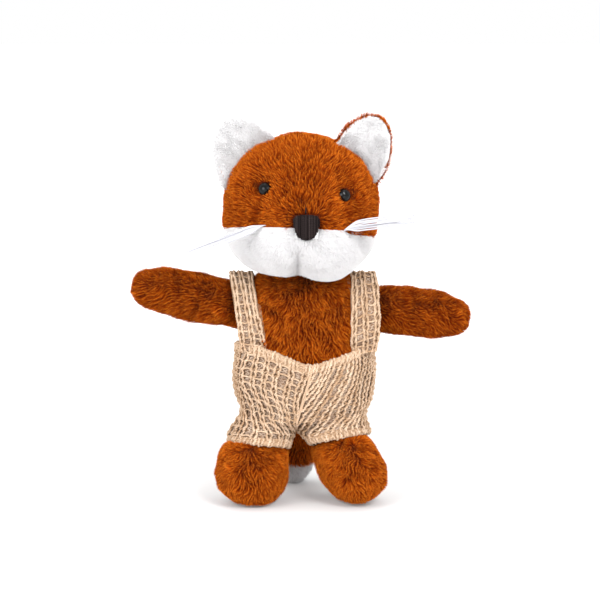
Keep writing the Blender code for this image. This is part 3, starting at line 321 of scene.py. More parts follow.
def add_node(tree, kind, inputs=None, **settings):
    node = tree.nodes.new("ShaderNode" + kind)
    for name, value in settings.items():
        setattr(node, name, value)
    set_inputs(tree, node, inputs or {})
    return node


def ramp_node(tree, stops, value):
    ramp = add_node(tree, "ValToRGB", {0: value})
    ramp.color_ramp.interpolation = "EASE"
    while len(ramp.color_ramp.elements) < len(stops):
        ramp.color_ramp.elements.new(0.5)
    for element, (place, colour) in zip(ramp.color_ramp.elements, stops):
        element.position = place
        element.color = (*colour, 1)
    return ramp.outputs[0]


def noise_node(tree, scale, detail):
    place = add_node(tree, "TexCoord")
    noise = {"Vector": place.outputs["Object"], "Scale": scale, "Detail": detail}
    return add_node(tree, "TexNoise", noise).outputs[0]


def bump_node(tree, height, strength, distance):
    return add_node(tree, "Bump", {"Height": height, "Strength": strength, "Distance": distance}).outputs[0]


def pile_material(name, dark, light, sheen, roughness=0.75):
    """Fibre: dark and light ramps from the root to the cut end, mixed by how light the blade is. The
    darker roots are partly the plush's own colour and partly painted shade deep in the pile.
    """
    material, tree, shader = new_material(name)
    place = add_node(tree, "UVMap", uv_map="OFBake")
    parts = add_node(tree, "SeparateXYZ", {0: place.outputs["UV"]})
    low = ramp_node(tree, dark, parts.outputs["Y"])
    high = ramp_node(tree, light, parts.outputs["Y"])
    mix = add_node(tree, "Mix", {0: parts.outputs["X"], 6: low, 7: high}, data_type="RGBA")
    set_inputs(tree, shader, {
        "Base Color": mix.outputs[2], "Roughness": roughness, "Specular IOR Level": 0.04,
        "Sheen Weight": sheen[0], "Sheen Roughness": 0.45, "Sheen Tint": (*sheen[1], 1),
    })
    return material


def yarn_material(name, dark, light, sheen=0.15):
    """Cotton yarn, with fine lint: lighter where the spinner's mix is light, with a paler painted top
    where it stands out and painted shade underneath.
    """
    material = pile_material(name, dark, light, (sheen, (1.0, 0.93, 0.82)), 0.85)
    tree = material.node_tree
    lint = bump_node(tree, noise_node(tree, 2600, 3), 0.5, 0.0001)
    set_inputs(tree, tree.nodes["Principled BSDF"], {"Normal": lint})
    return material


def ground_material(name, colour, darker, bump):
    """The woven backing that the pile stands on."""
    material, tree, shader = new_material(name)
    noise = noise_node(tree, 900, 4)
    set_inputs(tree, shader, {
        "Base Color": ramp_node(tree, [(0.35, darker), (0.65, colour)], noise),
        "Normal": bump_node(tree, noise, bump, 0.0003), "Roughness": 0.9, "Specular IOR Level": 0.15,
    })
    return material


def plain_material(name, colour, roughness, specular=0.5):
    material, tree, shader = new_material(name)
    lighter = tuple(min(1.0, c * 1.25 + 0.004) for c in colour)
    mottled = ramp_node(tree, [(0.3, colour), (0.75, lighter)], noise_node(tree, 900, 2))
    set_inputs(tree, shader, {"Base Color": mottled, "Roughness": roughness, "Specular IOR Level": specular})
    return material


def brown_plush():
    fibre = pile_material(
        "rust_pile",
        # Root to cut end: the darker roots are partly painted shade deep in the pile
        [(0.0, (0.05, 0.005, 0.0001)), (0.5, (0.17, 0.017, 0.0003)), (1.0, (0.33, 0.043, 0.0004))],
        [(0.0, (0.13, 0.014, 0.0003)), (0.5, (0.55, 0.088, 0.0015)), (1.0, (0.90, 0.275, 0.024))],
        (0.09, (1.0, 0.55, 0.18)),
    )
    return Plush(fibre, ground_material("rust_backing", (0.15, 0.02, 0.0006), (0.07, 0.009, 0.0003), 0.6),
                 "brown_plush")


def white_plush():
    fibre = pile_material(
        "white_pile",
        [(0.0, (0.58, 0.55, 0.56)), (0.5, (0.66, 0.63, 0.64)), (1.0, (0.72, 0.70, 0.71))],
        [(0.0, (0.92, 0.905, 0.91)), (0.5, (0.94, 0.935, 0.94)), (1.0, (0.955, 0.95, 0.955))],
        (0.1, (1.0, 1.0, 1.0)),
    )
    return Plush(fibre, ground_material("white_backing", (0.90, 0.89, 0.89), (0.87, 0.86, 0.86), 0.4),
                 "white_plush")


def black_stitches():
    return yarn_material(
        "black_stitches",
        [(0.0, (0.0015, 0.001, 0.001)), (0.6, (0.003, 0.002, 0.002)), (1.0, (0.010, 0.006, 0.006))],
        [(0.0, (0.003, 0.002, 0.002)), (0.6, (0.012, 0.008, 0.008)), (1.0, (0.060, 0.045, 0.044))],
        0.0,
    )


def whisker_thread():
    return yarn_material(
        "whisker_thread",
        [(0.0, (0.34, 0.33, 0.39)), (0.5, (0.48, 0.48, 0.53)), (1.0, (0.58, 0.58, 0.62))],
        [(0.0, (0.44, 0.43, 0.49)), (0.5, (0.58, 0.58, 0.62)), (1.0, (0.68, 0.68, 0.71))],
    )


def beige_yarn():
    return yarn_material(
        "beige_yarn",
        [(0.0, (0.25, 0.13, 0.06)), (0.55, (0.40, 0.235, 0.13)), (1.0, (0.52, 0.335, 0.20))],
        [(0.0, (0.38, 0.22, 0.12)), (0.55, (0.60, 0.42, 0.28)), (1.0, (0.84, 0.66, 0.50))],
    )


# The back net's yarn, darker than the front net's: painted shade where it lies behind the front net
def beige_back_yarn_in_painted_shade():
    return yarn_material(
        "beige_back_yarn_in_painted_shade",
        [(0.0, (0.22, 0.135, 0.085)), (0.5, (0.31, 0.20, 0.135)), (1.0, (0.38, 0.255, 0.18))],
        [(0.0, (0.42, 0.28, 0.19)), (0.5, (0.58, 0.43, 0.32)), (1.0, (0.72, 0.57, 0.45))],
    )


# Small mathematics


def ease(share):
    share = np.clip(share, 0.0, 1.0)
    return share * share * (3 - 2 * share)


def bell(distance, half_width, power=2):
    return np.exp(-((distance / half_width) ** power))


def signed_power(values, power):
    return np.sign(values) * np.abs(values) ** power


def unit(vectors):
    length = np.linalg.norm(vectors, axis=-1, keepdims=True)
    return vectors / np.maximum(length, 1e-12)


def through(rows, shares):
    """Values on a smooth curve through rows of (share, value, ...), read at the shares."""
    rows = np.asarray(rows, float)
    known, values = rows[:, 0], rows[:, 1:]
    slopes = np.gradient(values, known, axis=0)
    shares = np.clip(np.atleast_1d(shares), known[0], known[-1])
    index = np.clip(np.searchsorted(known, shares, side="right") - 1, 0, len(known) - 2)
    step = (known[index + 1] - known[index])[:, None]
    t = ((shares - known[index])[:, None]) / step
    return (
        (2 * t**3 - 3 * t**2 + 1) * values[index]
        + (t**3 - 2 * t**2 + t) * step * slopes[index]
        + (-2 * t**3 + 3 * t**2) * values[index + 1]
        + (t**3 - t**2) * step * slopes[index + 1]
    )


class Waves:
    """Smooth noise of about unit size: a sum of plane waves, with its slope."""

    def __init__(self, seed, shortest, longest, count=28):
        draw = np.random.default_rng(seed)
        heading = unit(draw.normal(size=(count, 3)))
        length = shortest * (longest / shortest) ** draw.random(count)
        self.steps = heading * (2 * math.pi / length)[:, None]
        self.phase = draw.random(count) * 2 * math.pi
        self.size = math.sqrt(2 / count)
        self.scale = math.sqrt(shortest * longest) / (2 * math.pi)

    def value(self, points):
        return np.sin(points @ self.steps.T + self.phase).sum(1) * self.size

    def slope(self, points):
        """The slope, scaled so that it is of about unit size too."""
        return np.cos(points @ self.steps.T + self.phase) @ self.steps * self.size * self.scale


# Meshes


def grid_faces(rows, sides):
    return [
        (i * sides + j, i * sides + (j + 1) % sides, (i + 1) * sides + (j + 1) % sides, (i + 1) * sides + j)
        for i in range(rows - 1)
        for j in range(sides)
    ]


def poled(rings, first, last):
    rings = np.asarray(rings, float)
    count, sides = rings.shape[:2]
    points = np.vstack([rings.reshape(-1, 3), first, last])
    start, end = count * sides, count * sides + 1
    faces = grid_faces(count, sides)
    faces += [(start, (j + 1) % sides, j) for j in range(sides)]
    faces += [(end, (count - 1) * sides + j, (count - 1) * sides + (j + 1) % sides) for j in range(sides)]
    return outward(points, faces)


def skin(rings):
    rings = np.asarray(rings, float)
    count, sides = rings.shape[:2]
    faces = grid_faces(count, sides)
    faces.append(tuple(range(sides - 1, -1, -1)))
    faces.append(tuple(range((count - 1) * sides, count * sides)))
    return outward(rings.reshape(-1, 3), faces)


def opened(points, faces):
    """A skin as a bmesh, ready for Blender to work on."""
    build = bmesh.new()
    corners = [build.verts.new(point) for point in points]
    for face in faces:
        build.faces.new([corners[i] for i in face])
    return build


def read_back(build):
    """The points and faces of a bmesh, which is freed."""
    build.verts.index_update()
    points = np.array([tuple(vertex.co) for vertex in build.verts])
    faces = [tuple(vertex.index for vertex in face.verts) for face in build.faces]
    build.free()
    return points, faces


def outward(points, faces):
    build = opened(points, faces)
    bmesh.ops.recalc_face_normals(build, faces=build.faces)
    return np.asarray(points, float), read_back(build)[1]


def moved(shape, matrix):
    points, faces = shape
    matrix = np.array(matrix)
    return np.asarray(points) @ matrix[:3, :3].T + matrix[:3, 3], faces


def rounded(half, profile_powers, section_power, rings, sides, front_share=0.0):
    angles = np.linspace(-math.pi / 2, math.pi / 2, rings + 2)
    around = np.linspace(0, 2 * math.pi, sides, endpoint=False)
    around = around - front_share * np.cos(around)
    power = np.where(angles < 0, profile_powers[0], profile_powers[1])
    ring = np.cos(angles) ** (2 / power)
    height = signed_power(np.sin(angles), 2 / power) * half[2]
    across = signed_power(np.cos(around), 2 / section_power) * half[0]
    along = signed_power(np.sin(around), 2 / section_power) * half[1]
    grid = np.empty((rings, sides, 3))
    grid[:, :, 0] = ring[1:-1, None] * across[None, :]
    grid[:, :, 1] = ring[1:-1, None] * along[None, :]
    grid[:, :, 2] = height[1:-1, None]
    return poled(grid, (0, 0, height[0]), (0, 0, height[-1]))


def facing(place, direction, upright=(0, 0, 1)):
    out = Vector(direction).normalized()
    side = Vector(upright).cross(out).normalized()
    top = out.cross(side)
    turn = Matrix((side, top, out)).transposed().to_4x4()
    return Matrix.Translation(Vector(place)) @ turn


def make_object(name, shape, material):
    points, faces = shape
    mesh = bpy.data.meshes.new(name)
    mesh.from_pydata((np.asarray(points) * MM).tolist(), [], faces)
    mesh.materials.append(material)
    mesh.shade_smooth()
    return placed(name, mesh)


def fast_object(name, points, loops, counts, uv, material):
    """An object from flat arrays, for meshes with very many faces. The map is the bake's."""
    mesh = bpy.data.meshes.new(name)
    mesh.vertices.add(len(points))
    mesh.vertices.foreach_set("co", (points * MM).astype(np.float32).ravel())
    mesh.loops.add(len(loops))
    mesh.loops.foreach_set("vertex_index", loops.astype(np.int32))
    mesh.polygons.add(len(counts))
    starts = np.concatenate([[0], np.cumsum(counts)[:-1]])
    mesh.polygons.foreach_set("loop_start", starts.astype(np.int32))
    mesh.uv_layers.new(name="OFBake")
    mesh.update(calc_edges=True)
    mesh.uv_layers["OFBake"].uv.foreach_set("vector", uv[loops].astype(np.float32).ravel())
    mesh.materials.append(material)
    mesh.shade_smooth()
    mesh.validate()
    return placed(name, mesh)


def joined(shapes):
    points, faces, shift = [], [], 0
    for found, corners in shapes:
        points.append(found)
        faces += [tuple(i + shift for i in face) for face in corners]
        shift += len(found)
    return np.vstack(points), faces


def remeshed(shape, voxel, smooth_steps):
    """The outer skin of overlapping shapes as one evenly meshed form, with its creases softened."""
    temporary = make_object("remesh_source", shape, bpy.data.materials.new("remesh_source"))
    remesh = temporary.modifiers.new("remesh", "REMESH")
    remesh.mode = "VOXEL"
    remesh.voxel_size = voxel * MM
    soften = temporary.modifiers.new("soften", "SMOOTH")
    soften.factor = 0.5
    soften.iterations = smooth_steps
    graph = bpy.context.evaluated_depsgraph_get()
    found = bpy.data.meshes.new_from_object(temporary.evaluated_get(graph))
    points = np.empty(len(found.vertices) * 3)
    found.vertices.foreach_get("co", points)
    faces = [tuple(face.vertices) for face in found.polygons]
    bpy.data.meshes.remove(found)
    bpy.data.objects.remove(temporary, do_unlink=True)
    return points.reshape(-1, 3) / MM, faces


# Stuffed forms


LUMPS = Waves(3, 9.0, 22.0)
SMALL_LUMPS = Waves(4, 3.5, 8.0)


def normals_of(shape):
    points, faces = shape
    normals = np.zeros_like(points)
    triangles = np.array([(f[0], f[i], f[i + 1]) for f in faces for i in range(1, len(f) - 1)])
    a, b, c = (points[triangles[:, k]] for k in range(3))
    flat = np.cross(b - a, c - a)
    for k in range(3):
        np.add.at(normals, triangles[:, k], flat)
    return unit(normals), triangles


def stuffed(shape, deep, fine):
    """The same form with the slight lumps of its stuffing."""
    points, faces = shape
    normals, _ = normals_of(shape)
    swell = deep * LUMPS.value(points) + fine * SMALL_LUMPS.value(points)
    return points + normals * swell[:, None], faces


def torso_form(growth):
    half = TORSO_HALF + growth
    points, faces = rounded(half, (TORSO_PROFILE_POWER,) * 2, TORSO_SECTION_POWER, 48, 96)
    lower = ease(-points[:, 2] / TORSO_HALF[2] * 2)
    points[:, :2] *= (1 + 0.05 * lower)[:, None]
    points = points + TORSO_CENTRE
    over = points[:, 2] > NECK_HEIGHT - 0.3
    points[over, 2] = NECK_HEIGHT - 0.3
    return points, faces


def shoulder_pivot(side):
    x = TORSO_CENTRE[0] + OUTWARD[side] * (TORSO_HALF[0] - SHOULDER_INSET)
    return np.array([x, 0.0, SHOULDER_HEIGHT[side]])


def arm_direction(side):
    return np.array([OUTWARD[side] * math.cos(ARM_REST[side]), 0.0, math.sin(ARM_REST[side])])


# An arm's radius over its middle radius, at each share of its length
ARM_PROFILE = [
    (0, ARM_ROOT_RADIUS / ARM_MIDDLE_RADIUS), (0.2, 0.97), (0.42, 1.0), (0.62, 0.97),
    (0.78, 0.88), (0.88, 0.75), (0.95, 0.54), (0.985, 0.3),
]


def arm_form(side, growth):
    """A sausage with a seam along its top and bottom, which dents the paw."""
    length = ARM_LENGTH[side]
    angles = np.radians(np.linspace(-80, -8, 10))
    centres = list((ARM_ROOT_RADIUS + growth) * np.sin(angles))
    radii = list((ARM_ROOT_RADIUS + growth) * np.cos(angles))
    shares = np.concatenate([np.linspace(0, 0.9, 28), [0.925, 0.95, 0.97, 0.985]])
    for share in shares:
        centres.append(share * (length + growth))
        radii.append(through(ARM_PROFILE, share)[0, 0] * (ARM_MIDDLE_RADIUS + growth))
    around = np.linspace(0, 2 * math.pi, 48, endpoint=False)
    rings = []
    for c, r in zip(centres, radii):
        seam = 0.05 + 0.14 * float(ease((c / length - 0.78) / 0.2))
        dent = 1 - seam * bell(np.sin(around), 0.16)
        rings.append(
            np.stack([r * np.cos(around) * dent, r * np.sin(around) * 0.98 * dent, np.full(48, c)], 1)
        )
    shape = poled(rings, (0, 0, -ARM_ROOT_RADIUS - growth), (0, 0, (length + growth) * 0.985))
    return moved(shape, facing(shoulder_pivot(side), arm_direction(side), (0, 1, 0)))


def foot_form(side, growth):
    half = np.array([FOOT_HALF_WIDTH[side], FOOT_HALF_LENGTH, FOOT_HALF_HEIGHT[side]]) + growth
    points, faces = rounded(half, FOOT_PROFILE_POWERS, FOOT_SECTION_POWER, 40, 72)
    points[:, 0] *= 1 - 0.14 * ease(points[:, 1] / FOOT_HALF_LENGTH)
    turn = Matrix.Rotation(FOOT_TOE_OUT[side] * OUTWARD[side], 4, "Z")
    roll = Matrix.Rotation(-FOOT_ROLL[side] * OUTWARD[side], 4, "Y")
    points, faces = moved((points, faces), turn @ roll)
    lowest = points[:, 2].min()
    place = np.array([FOOT_CENTRE_X[side], FOOT_CENTRE_Y, -0.5 - growth - lowest])
    return points + place, faces


def ankle_place(side):
    return np.array([(FOOT_CENTRE_X[side] + HIP_X[side]) / 2, FOOT_CENTRE_Y / 2, ANKLE_HEIGHT])


def leg_form(side, growth):
    """The stuffed thigh, ankle and foot as one skin, flat under the sole."""
    hip, ankle = np.array([HIP_X[side], 0.0, HIP_HEIGHT]), ankle_place(side)
    axis = unit(ankle - hip)
    around = np.linspace(0, 2 * math.pi, 40, endpoint=False)
    frame_ = np.array(facing(hip, axis))
    rings = []
    length = np.linalg.norm(ankle - hip)
    for a in np.radians(range(-80, 0, 10)):
        rings.append((THIGH_RADIUS + growth, a, 0.0))
    for s in np.linspace(0, 1, 12):
        rings.append((THIGH_RADIUS + (ANKLE_RADIUS - THIGH_RADIUS) * s + growth, 0.0, s * length))
    for a in np.radians(range(10, 81, 10)):
        rings.append((ANKLE_RADIUS + growth, a, length))
    grid = [
        np.stack([r * math.cos(a) * np.cos(around), r * math.cos(a) * np.sin(around),
                  np.full(40, s + r * math.sin(a))], 1)
        for r, a, s in rings
    ]
    shaft = poled(grid, (0, 0, -THIGH_RADIUS - growth), (0, 0, length + ANKLE_RADIUS + growth))
    shaft = moved(shaft, frame_)
    points, faces = remeshed(joined([shaft, foot_form(side, growth)]), 0.9, 6)
    points[:, 2] = np.maximum(points[:, 2], 0.25)
    return points, faces


def tail_point(share):
    first, bend, last = TAIL_PATH
    return (1 - share) ** 2 * first + 2 * share * (1 - share) * bend + share**2 * last


def tail_direction(share):
    first, bend, last = TAIL_PATH
    return unit(2 * (1 - share) * (bend - first) + 2 * share * (last - bend))


def tail_form(growth):
    around = np.linspace(0, 2 * math.pi, 40, endpoint=False)
    rings = []
    shares = np.concatenate([np.linspace(0, 0.9, 30), [0.925, 0.95, 0.97, 0.985, 0.995]])
    for share in shares:
        swell = ease(share / TAIL_FULLEST_SHARE)
        close = max(share - TAIL_FULLEST_SHARE, 0.0) / (1 - TAIL_FULLEST_SHARE)
        radius = TAIL_ROOT_RADIUS + (TAIL_FULL_RADIUS - TAIL_ROOT_RADIUS) * swell
        radius = (radius + growth) * math.sqrt(1 - close**2)
        ring = np.stack([radius * np.cos(around), radius * np.sin(around), np.zeros(40)], 1)
        rings.append(moved((ring, []), facing(tail_point(share), tail_direction(share), (1, 0, 0)))[0])
    first = tail_point(0) - tail_direction(0) * (TAIL_ROOT_RADIUS / 2 + growth)
    return poled(rings, first, tail_point(1) + tail_direction(1) * growth)


def head_form(growth, rings=84, sides=150):
    points, faces = rounded(HEAD_HALF + growth, (2.9, 2.0), 2.0, rings, sides, 0.4)
    points = points + HEAD_CENTRE
    x, y, z = points.T
    front = ease((HEAD_CENTRE[1] - y) / HEAD_HALF[1] * 1.6)
    lower = ease((HEAD_CENTRE[2] - z) / HEAD_HALF[2] * 1.6)
    snout = bell(x - SNOUT["x"], SNOUT["wide"], 4) * bell(z - SNOUT["z"], SNOUT["high"])
    forward = SNOUT["reach"] * snout * front
    for side in SIDES:
        puff = bell(x - CHEEK_X[side], CHEEK_HALF_WIDTH) * bell(z - CHEEK_HEIGHT, CHEEK_HALF_HEIGHT)
        forward = forward + CHEEK_REACH * puff * front
        eye_x, eye_z = EYE_PLACE[side]
        distance = np.hypot(x - eye_x, z - eye_z)
        forward = forward - EYE_HOLLOW_DEPTH * bell(distance, EYE_HOLLOW_RADIUS) * front
    hang = bell(y - CHIN_Y, CHIN_HALF_DEPTH) * lower
    down = sum(CHEEK_DROP[side] * bell(x - CHEEK_X[side], CHEEK_HALF_WIDTH) for side in SIDES)
    notch = CHIN_NOTCH_DEPTH * bell(x - CHIN_SEAM_X, CHIN_NOTCH_HALF_WIDTH) * lower * front
    groove = notch / 2 * ease((CHEEK_HEIGHT - z) / CHEEK_HALF_HEIGHT)
    points[:, 1] = y - forward + groove
    points[:, 2] = z - down * hang + notch * hang
    return points, faces


def panel_top(x, y):
    """How high the cheek panels' top edge lies."""
    front = (PANEL_BACK_Y - y) * math.tan(PANEL_TOP_FRONT_SLOPE)
    dip = PANEL_DIP * ease((x - WHISKER_ROOT["right"][0]) / 4.0)
    return PANEL_TOP_HEIGHT + front + x * math.tan(PANEL_TOP_SIDE_SLOPE) - dip


def is_white(points):
    x, y, z = points.T
    return (z < panel_top(x, y)) & (y < PANEL_BACK_Y)


def cut_away(shape, planes):
    """The part of a skin on the inner side of planes, each a point and an outward direction."""
    points, faces = shape
    build = opened(points, faces)
    for place, direction in planes:
        everything = build.verts[:] + build.edges[:] + build.faces[:]
        bmesh.ops.bisect_plane(build, geom=everything, plane_co=place, plane_no=direction, clear_outer=True)
    return read_back(build)


def thickened(shape, depth):
    """A closed shell from an open skin, this thick towards the inside."""
    points, faces = shape
    normals, _ = normals_of(shape)
    count = len(points)
    edges = {}
    for face in faces:
        for a, b in zip(face, face[1:] + face[:1]):
            edges[(a, b)] = edges.get((a, b), 0) + 1
    rim = [(a, b) for a, b in edges if (b, a) not in edges]
    closed = list(faces)
    closed += [tuple(i + count for i in reversed(face)) for face in faces]
    closed += [(b, a, a + count, b + count) for a, b in rim]
    return np.vstack([points, points - normals * depth]), closed


def surface_on(tree, x, z):
    place, normal, _, _ = tree.ray_cast(Vector((x, -80.0, z)), Vector((0, 1, 0)))
    return np.array(place), np.array(normal)


def tree_of(shape):
    points, faces = shape
    return BVHTree.FromPolygons([tuple(point) for point in points], faces)


# Ears


def ear_frame(side):
    inner = np.array([EAR_ROOT_INNER[side][0], EAR_Y, EAR_ROOT_INNER[side][1]])
    outer = np.array([EAR_ROOT_OUTER[side][0], EAR_Y, EAR_ROOT_OUTER[side][1]])
    along = Vector(inner - outer).normalized()
    tip = Vector((0, -1, 0)).cross(along) * -OUTWARD[side]
    turn = Matrix((along, tip, along.cross(tip))).transposed().to_4x4()
    lean = Matrix.Rotation(EAR_LEAN * OUTWARD[side], 4, "X")
    return Matrix.Translation(Vector((inner + outer) / 2)) @ turn @ lean


def ear_layer(side, front_depth, back_depth, fringe, rows=22, columns=25):
    """One cupped layer of plush between two depths, with its rim drawn round."""
    inner, outer = np.array(EAR_ROOT_INNER[side]), np.array(EAR_ROOT_OUTER[side])
    half_width = np.linalg.norm(inner - outer) / 2 + fringe
    height = EAR_HEIGHT[side] + fringe
    rises = np.concatenate([[-EAR_ROOT_DEPTH / height, -EAR_ROOT_DEPTH / height / 2],
                            np.sin(np.radians(np.linspace(0, 86, rows)))])
    across = np.sin(np.linspace(-1, 1, columns) * math.pi / 2)
    power = EAR_ROUNDNESS[side]
    middle_depth, half_depth = (front_depth + back_depth) / 2, (back_depth - front_depth) / 2
    grids = []
    for sign in (-1, 1):
        rows_ = []
        for rise in rises:
            taper = (1 - max(rise, 0.0) ** power) ** (1 / power)
            middle = EAR_SKEW[side] * max(rise, 0.0) ** 1.3
            cup = EAR_CUP * (1 - 0.5 * max(rise, 0.0))
            edge = np.sqrt(np.clip(1 - (np.abs(across) ** 6), 0, 1)) * min(1.0, taper * 3)
            depth = middle_depth + sign * half_depth * (0.25 + 0.75 * edge)
            x = middle + across * half_width * taper
            rows_.append(np.stack([x, np.full_like(x, rise * height),
                                   OUTWARD[side] * (depth - cup * (across * taper) ** 2)], 1))
        grids.append(rows_)
    count_r, count_c = len(rises), len(across)
    points = np.array(grids).reshape(-1, 3)
    faces = []
    for layer in (0, 1):
        start = layer * count_r * count_c
        for i in range(count_r - 1):
            for j in range(count_c - 1):
                a = start + i * count_c + j
                faces.append((a, a + 1, a + count_c + 1, a + count_c))
    rim = list(range(count_c))
    rim += [i * count_c + count_c - 1 for i in range(1, count_r)]
    rim += [(count_r - 1) * count_c + j for j in range(count_c - 2, -1, -1)]
    rim += [i * count_c for i in range(count_r - 2, 0, -1)]
    shift = count_r * count_c
    faces += [(a, b, b + shift, a + shift) for a, b in zip(rim, rim[1:] + rim[:1])]
    return moved(outward(points, faces), ear_frame(side))


# Pile


CLUMPS = Waves(11, 0.55, 1.1, 26)
WISPS = Waves(14, 0.4, 0.7, 26)
STREAK_STEPS = (-0.66, -0.33, 0.0, 0.33, 0.66)
NAP = Waves(12, 4.0, 11.0)
MOTTLE = Waves(13, 2.2, 6.5, 36)


def streaked(measure, points, flow):
    """A noise's value or slope, drawn out along the nap and brought back to about unit size."""
    total = sum(measure(points + step * flow) for step in STREAK_STEPS)
    return total / np.sqrt((total**2).sum(-1).mean() if total.ndim > 1 else total.var())


def without(vectors, axis):
    """What is left of vectors once their part along an axis is taken out."""
    return vectors - (vectors * axis).sum(1, keepdims=True) * axis


def scattered(shape, keep, count, draw):
    """Random places on the kept part of a skin, spread evenly over its area, with their normals."""
    points, _ = shape
    normals, triangles = normals_of(shape)
    a, b, c = (points[triangles[:, k]] for k in range(3))
    area = np.linalg.norm(np.cross(b - a, c - a), axis=1) * keep((a + b + c) / 3)
    corners = triangles[draw.choice(len(triangles), size=count, p=area / area.sum())]
    u, v = draw.random((2, count))
    fold = u + v > 1
    u[fold], v[fold] = 1 - u[fold], 1 - v[fold]
    weights = np.stack([1 - u - v, u, v], 1)[:, :, None]
    root = (points[corners] * weights).sum(1)
    normal = unit((normals[corners] * weights).sum(1))
    inside = keep(root)
    return root[inside], normal[inside]


def pile(name, body, plush, shape, fur, comb, keep, fade=None, shade=0.0):
    """Cut fibres on a form: flat tapered blades that lean with the nap and gather in small clumps.

    On the map, a blade's place across is how light it is and its place up is how near its cut end.
    Shade, a number or a function of the root, lightens it, and fade, a function too, shortens it.
    """
    draw = np.random.default_rng(fur.seed)
    root, normal = scattered(shape, keep, fur.count, draw)
    count = len(root)
    combed = unit(without(comb(root), normal))
    sideways = np.cross(normal, combed)
    turn = 0.3 * NAP.value(root)
    nap = combed * np.cos(turn)[:, None] + sideways * np.sin(turn)[:, None]
    locks, gather = streaked(CLUMPS.value, root, nap), streaked(CLUMPS.slope, root, nap)
    wisps = streaked(WISPS.value, root, nap)
    turn = turn + draw.normal(size=count) * 0.13
    flow = combed * np.cos(turn)[:, None] + sideways * np.sin(turn)[:, None]
    gather = without(without(gather, normal), flow)
    strength = fur.lean * (1 + 0.2 * NAP.value(root[:, [1, 2, 0]]))[:, None]
    first = unit(normal + 0.45 * strength * flow + 0.5 * fur.tousle * gather)
    second = unit(normal + 1.25 * strength * flow + fur.tousle * gather)
    long = fur.length * (0.82 + 0.36 * draw.random(count))
    if fade is not None:
        long = long * fade(root)
    knee = root + first * long[:, None] * 0.55
    tip = knee + second * long[:, None] * 0.5
    blade = unit(np.cross(first, normal) + 0.35 * draw.normal(size=(count, 3)))
    half = unit(without(blade, first)) * (fur.width / 2 * (0.75 + 0.5 * draw.random(count)))[:, None]
    base = root - normal * 0.25
    found = np.stack([base - half, base + half, knee - half * 0.9, knee + half * 0.9, tip], 1)
    # The locks are lighter where the tips gather and darker in the partings between them, painted light and
    # shade; the mottle and wisps are the plush's own tone
    light = 0.5 + fur.grain * (0.07 * MOTTLE.value(root) + 0.22 * locks + 0.17 * wisps)
    light = light + (shade(root) if callable(shade) else shade)
    light = np.clip(light + 0.1 * min(1, fur.grain) * draw.normal(size=count), 0.02, 0.97)
    rise = np.array([0.03, 0.03, 0.55, 0.55, 0.97])
    across = light[:, None] + np.array([0.0, 0.02, 0.0, 0.02, 0.01])
    uv = np.stack([across, np.broadcast_to(rise, (count, 5))], 2)
    loops = (np.arange(count)[:, None] * 5 + np.array([0, 1, 3, 2, 2, 3, 4])).ravel()
    counts = np.tile([4, 3], count)
    piece = fast_object(name, found.reshape(-1, 3), loops, counts, uv.reshape(-1, 2), plush.fibre)
    return ride(piece, body, plush.slot)


def ride(piece, body, slot, *nodes):
    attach(piece, body)
    if nodes:
        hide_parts(*nodes)
    return piece


def stuffed_piece(name, form, plush, body, node):
    """The stuffed form under a pile, which stands for one node of the CAD."""
    ride(make_object(name, form, plush.ground), body, plush.slot, node)


# Plush pieces


def hem_plane(side, x, y):
    across = (x - CUFF_MIDDLE[side]) * OUTWARD[side] * math.tan(HEM_SIDE_RISE[side])
    return HEM_HEIGHT[side] - y * math.tan(HEM_FRONT_RISE) + across


def waist_height(x, y):
    dip = np.clip(np.abs(x - WAIST_DIP_X) / WAIST_DIP_HALF_WIDTH, 0, 1)
    side = np.where(x < WAIST_DIP_X, WAIST_SIDE_HEIGHT["left"], WAIST_SIDE_HEIGHT["right"])
    front = WAIST_DIP_HEIGHT + (side - WAIST_DIP_HEIGHT) * ease(dip)
    behind = ease((y / TORSO_HALF[1] + 0.35) / 0.7)
    return front + (WAIST_BACK_HEIGHT - front) * behind


def strap_edges(side, share):
    rows = [
        (0.0, *STRAP_EDGES_FRONT[side]),
        (0.25, *STRAP_EDGES_CHEST[side]),
        (0.5, *STRAP_EDGES_TOP[side]),
        (1.0, *STRAP_EDGES_BACK[side]),
    ]
    return through(rows, share)


STRAP_FOOT = math.asin((TORSO_CENTRE[2] - STRAP_FOOT_HEIGHT) / TORSO_HALF[1])


def under_strap(points):
    """Whether points of the torso lie under a strap, or within a fibre's reach of it."""
    angle = np.arctan2(points[:, 2] - TORSO_CENTRE[2], -(points[:, 1] - TORSO_CENTRE[1]))
    angle = np.where(angle < -math.pi / 2, angle + 2 * math.pi, angle)
    share = (angle + STRAP_FOOT) / (math.pi + 2 * STRAP_FOOT)
    covered = np.zeros(len(points), bool)
    for side in SIDES:
        edges = strap_edges(side, share)
        low, high = edges.min(1) + 0.6, edges.max(1) - 0.6
        covered |= (points[:, 0] > low) & (points[:, 0] < high) & (share > 0) & (share < 1)
    return covered


def along(direction):
    fixed = np.asarray(direction, float)
    return lambda points: np.broadcast_to(fixed, points.shape)


def build_torso(brown):
    form = stuffed(torso_form(-SINK["torso"]), *LUMP_DEPTHS["torso"])
    stuffed_piece("torso_form", form, brown, "torso", "torso")

    def keep(points):
        x, y, z = points.T
        shown = (z > waist_height(x, y) - 0.5) & (z < NECK_HEIGHT - 1.2) & ~under_strap(points)
        for side in SIDES:
            shown &= np.linalg.norm(points - shoulder_pivot(side), axis=1) > ARM_ROOT_RADIUS - 5.0
        return shown

    def comb(points):
        """The nap fans down from a point above the neck."""
        return unit(points - np.array([1.9, -20.0, 98.0])) + np.array([0.0, 0.0, -0.5])

    # Painted shadow under the chin: the fibres darken towards the neck
    def shade(points):
        return -0.12 * ease((points[:, 2] - 77.0) / 9.0)

    def fade(points):
        return 1 + 0.7 * ease((points[:, 2] - 82.0) / 4.0)

    pile("torso_pile", "torso", brown, form, FURS["torso"], comb, keep, fade, shade)


